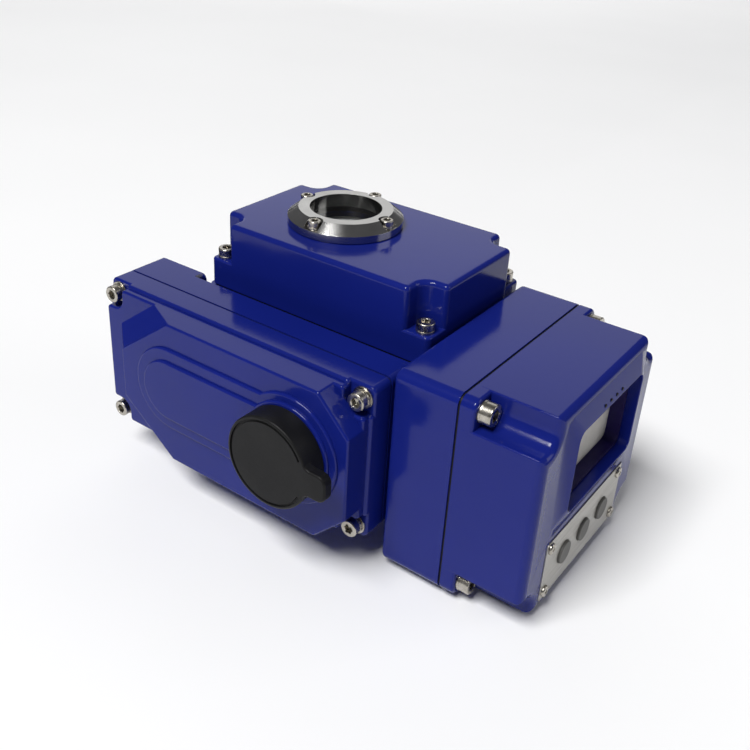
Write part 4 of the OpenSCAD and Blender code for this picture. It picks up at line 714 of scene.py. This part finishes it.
# Rubber cap over the hand drive: a round face with a groove, a pull tab, and a hollow plug behind
def hand_cap():
    low, high = limits("hand_cap")
    cx, cz = hand_drive()
    front, plug_end = low.y, high.y
    face_t, radius, plug_r, hollow_r, wall, edge = 12.0, 21.75, 17.0, 13.5, 3.5, 0.6
    tab_t, tab_half, fillet, corner = 5.0, 6.5, 3.5, 4.0
    back = front + face_t
    tab_end = high.x - cx
    round_steps, corner_steps = 96, 10

    def arc(u, v, r, first, last, count):
        """Arc round the point that lies u and v away from the hand drive's axis."""
        turn = (last - first) / count
        return [Vector((cx + u + r * math.cos(first + turn * k), cz + v + r * math.sin(first + turn * k)))
                for k in range(count + 1)]

    start = math.sqrt((radius + fillet) ** 2 - (tab_half + fillet) ** 2)
    lean = math.atan2(tab_half + fillet, start)
    face = arc(0, 0, radius, lean, 2 * math.pi - lean, round_steps)
    face += arc(start, -tab_half - fillet, fillet, math.pi - lean, math.pi / 2, corner_steps)[1:]
    face += arc(tab_end - corner, corner - tab_half, corner, -math.pi / 2, 0, corner_steps)
    face += arc(tab_end - corner, tab_half - corner, corner, 0, math.pi / 2, corner_steps)
    face += arc(start, tab_half + fillet, fillet, -math.pi / 2, lean - math.pi, corner_steps)[:-1]
    shell = Shell("-Y")
    last = shell.prism(face, front + tab_t, front, radius=1.0, start_radius=0.8, open_end=True)

    groove_r, groove_w, groove_t, slope, short, groove_steps = 19.75, 1.2, 0.8, 0.15, 0.06, 90
    gap = lean + short
    groove = arc(0, 0, groove_r + groove_w / 2, gap, 2 * math.pi - gap, groove_steps)
    groove += arc(0, 0, groove_r - groove_w / 2, 2 * math.pi - gap, gap, groove_steps)
    lip = shell.ring(groove, front)
    shell.cap(last, lip)
    bottom = shell.ring(inset(groove, slope), front + groove_t)
    shell.skin([lip, bottom])
    shell.cap(bottom)

    body = circle(cx, cz, radius - TUCK, round_steps)
    plug = circle(cx, cz, plug_r, round_steps)
    hollow = circle(cx, cz, hollow_r, round_steps)
    rings = [shell.ring(body, front + wall)]
    rings += shell.rounded_end(body, back, edge, 1)
    rings.append(shell.ring(plug, back))
    rings += shell.rounded_end(plug, plug_end, edge, 1)
    rings.append(shell.ring(hollow, plug_end))
    rings.append(shell.ring(hollow, front + wall + TUCK))
    shell.skin(rings)
    shell.cap(rings[0])
    shell.cap(rings[-1])
    shell.make("hand_cap_rubber", "cap", "rubber", ["hand_cap"])


# Housing: the casting's own form, the edges of its gear case and base eased as far as the clamp allows
def housing():
    low = limits("main_housing")[0]
    case_low, case_high = limits("front_gasket")
    seam, reach, near, middle_r = 0.5, 21.0, 0.1, 38.0

    def from_outline(p):
        """Distance of a point from the gear case outline."""
        half_x = (case_high.x - case_low.x) / 2 - CASE_CORNER
        half_z = (case_high.z - case_low.z) / 2 - CASE_CORNER
        qx = abs(p.x - (case_low.x + case_high.x) / 2) - half_x
        qz = abs(p.z - (case_low.z + case_high.z) / 2) - half_z
        return math.hypot(max(qx, 0), max(qz, 0)) + min(max(qx, qz), 0) - CASE_CORNER

    def wanted(p):
        """Whether an edge lies on the gear case outline, or under the base and away from its middle."""
        on_case = low.y + seam < p.y < low.y + reach and abs(from_outline(p)) < near
        on_base = p.z < low.z + near and math.hypot(p.x, p.y) > middle_r
        return on_case or on_base

    softened("main_housing", "housing_casting", "housing", "enamel", width=1.4, wanted=wanted)


# Gaskets: node, axis and corner radius of the flanges that hold them
GASKETS = [
    ("top_gasket", "+Z", TOP_CORNER),
    ("front_gasket", "-Y", CASE_CORNER),
    ("control_gasket", "+X", BOX_CORNER),
]


def gaskets():
    """Flat gasket frames, set back a little from the edges of their flanges."""
    back, width, spare = 0.7, 3.0, 0.3
    for node, axis, corner in GASKETS:
        low, high = limits(node)
        u, v, w = PLANES[axis]
        edge = rectangle(low[u], low[v], high[u], high[v], corner)
        outer, inner = inset(edge, back), inset(edge, min(back + width, corner - spare))
        shell = Shell(axis)
        rings = [shell.ring(outer, low[w]), shell.ring(outer, high[w]),
                 shell.ring(inner, high[w]), shell.ring(inner, low[w])]
        shell.skin(rings + rings[:1])
        shell.make(node + "_frame", "housing", "rubber", [node])


def small_pieces():
    softened("indicator_ring", "window_ring", "housing", "polished", width=0.4)
    softened("front_cover_washers", "gear_cover_washers", "housing", "stainless", width=0.2)
    softened("button_plate", "button_face_plate", "housing", "brushed_plate", width=0.2)
    softened("gland_bodies", "cable_gland_bodies", "housing", "black_plastic", width=0.5)
    softened("gland_nuts", "cable_gland_nuts", "housing", "black_plastic", width=0.45)
    for side in ("left", "middle", "right"):
        softened(side + "_button", side + "_push_button", side + "_button", "grey_plastic", width=0.4)


housing()
top_cover()
front_cover()
control_base()
control_cover()
hand_cap()
screws()
gaskets()
small_pieces()


# Floor and light
def make_floor():
    """Pale floor that glows more with distance, so that it runs into the backdrop."""
    bm = bmesh.new()
    bmesh.ops.create_grid(bm, x_segments=2, y_segments=2, size=6.0)
    m = Mat("pale_floor")
    tone = m.noise(scale=3.0, detail=2.0)
    m.set(Base_Color=m.ramp(tone, (0.9, 0.9, 0.9), (0.92, 0.92, 0.92)), Roughness=0.9)
    away = m.node("ShaderNodeVectorMath", operation="LENGTH")
    m.link(m.coord, away.inputs[0])
    near, far, glow = 1.3, 5.0, 0.85
    fade = m.node("ShaderNodeMapRange")
    fade.inputs["From Min"].default_value = near
    fade.inputs["From Max"].default_value = far
    fade.inputs["To Max"].default_value = glow
    m.link(away.outputs["Value"], fade.inputs["Value"])
    m.set(Emission_Color=(0.9, 0.9, 0.9, 1.0), Emission_Strength=fade.outputs["Result"])
    floor = placed(bm, "studio_floor", m.mat)


def make_flag():
    """Dark card on the left, unseen by the camera, that keeps the pale floor out of reflections there."""
    far, lift, rise = 1.1, 0.002, 0.22
    bm = bmesh.new()
    # Rows of the card: x, the near end in y, and z
    rows = [[bm.verts.new((x, y, z)) for y in (near, far)]
            for x, near, z in ((-0.115, -0.085, lift), (-0.3, -0.09, lift), (-0.5, -0.4, lift),
                               (-1.6, -0.8, lift), (-1.6, -0.8, rise))]
    for a, b in zip(rows, rows[1:]):
        bm.faces.new((a[0], a[1], b[1], b[0]))
    m = Mat("black_cloth")
    nap = m.noise(scale=80.0, detail=3.0)
    m.set(Base_Color=m.ramp(nap, (0.012, 0.012, 0.014), (0.02, 0.02, 0.022)), Roughness=0.9)
    flag = placed(bm, "dark_flag", m.mat)
    flag.visible_camera = False
    flag.visible_diffuse = False
    flag.visible_shadow = False
    flag.visible_transmission = False


def area_light(name, at, aim, size, watts):
    """Rectangular lamp at one point, turned to another."""
    data = bpy.data.lights.new(name, "AREA")
    data.shape = "RECTANGLE"
    data.size, data.size_y = size
    data.energy = watts
    lamp = bpy.data.objects.new(name, data)
    bpy.context.scene.collection.objects.link(lamp)
    lamp.location = at
    lamp.rotation_mode = "QUATERNION"
    lamp.rotation_quaternion = (Vector(aim) - Vector(at)).to_track_quat("-Z", "Y")


def make_world():
    """Dim studio, lighter overhead and towards the back left, with a pale backdrop behind the floor."""
    lightest = (-0.45, 0.2, 0.87)
    world = bpy.data.worlds.new("studio")
    bpy.context.scene.world = world
    world.use_nodes = True
    tree = world.node_tree
    back = tree.nodes["Background"]
    coord = tree.nodes.new("ShaderNodeTexCoord")
    along = tree.nodes.new("ShaderNodeVectorMath")
    along.operation = "DOT_PRODUCT"
    along.inputs[1].default_value = lightest
    ramp = tree.nodes.new("ShaderNodeValToRGB")
    first, last = ramp.color_ramp.elements
    first.position, first.color = 0.0, (0.07, 0.07, 0.078, 1.0)
    last.position, last.color = 0.7, (0.12, 0.12, 0.126, 1.0)
    path = tree.nodes.new("ShaderNodeLightPath")
    pick = tree.nodes.new("ShaderNodeMix")
    pick.data_type = "RGBA"
    colours = [i for i in pick.inputs if i.type == "RGBA"]
    colours[1].default_value = (0.9, 0.9, 0.9, 1.0)
    tree.links.new(coord.outputs["Generated"], along.inputs[0])
    tree.links.new(along.outputs["Value"], ramp.inputs["Fac"])
    tree.links.new(ramp.outputs["Color"], colours[0])
    tree.links.new(path.outputs["Is Camera Ray"], pick.inputs["Factor"])
    tree.links.new([o for o in pick.outputs if o.type == "RGBA"][0], back.inputs["Color"])


bpy.context.scene.view_settings.view_transform = "Standard"
make_floor()
make_flag()
make_world()
area_light("key", at=(-0.2, -2.5, 3.9), aim=(0.03, -0.03, 0.06), size=(2.1, 1.5), watts=230.0)
area_light("back_left", at=(-1.02, 1.44, 0.94), aim=(0.03, 0.0, 0.1), size=(1.9, 1.4), watts=7.0)
area_light("right_fill", at=(1.5, 0.9, 0.9), aim=(0.25, 0.05, 0.0), size=(1.0, 0.8), watts=5.0)
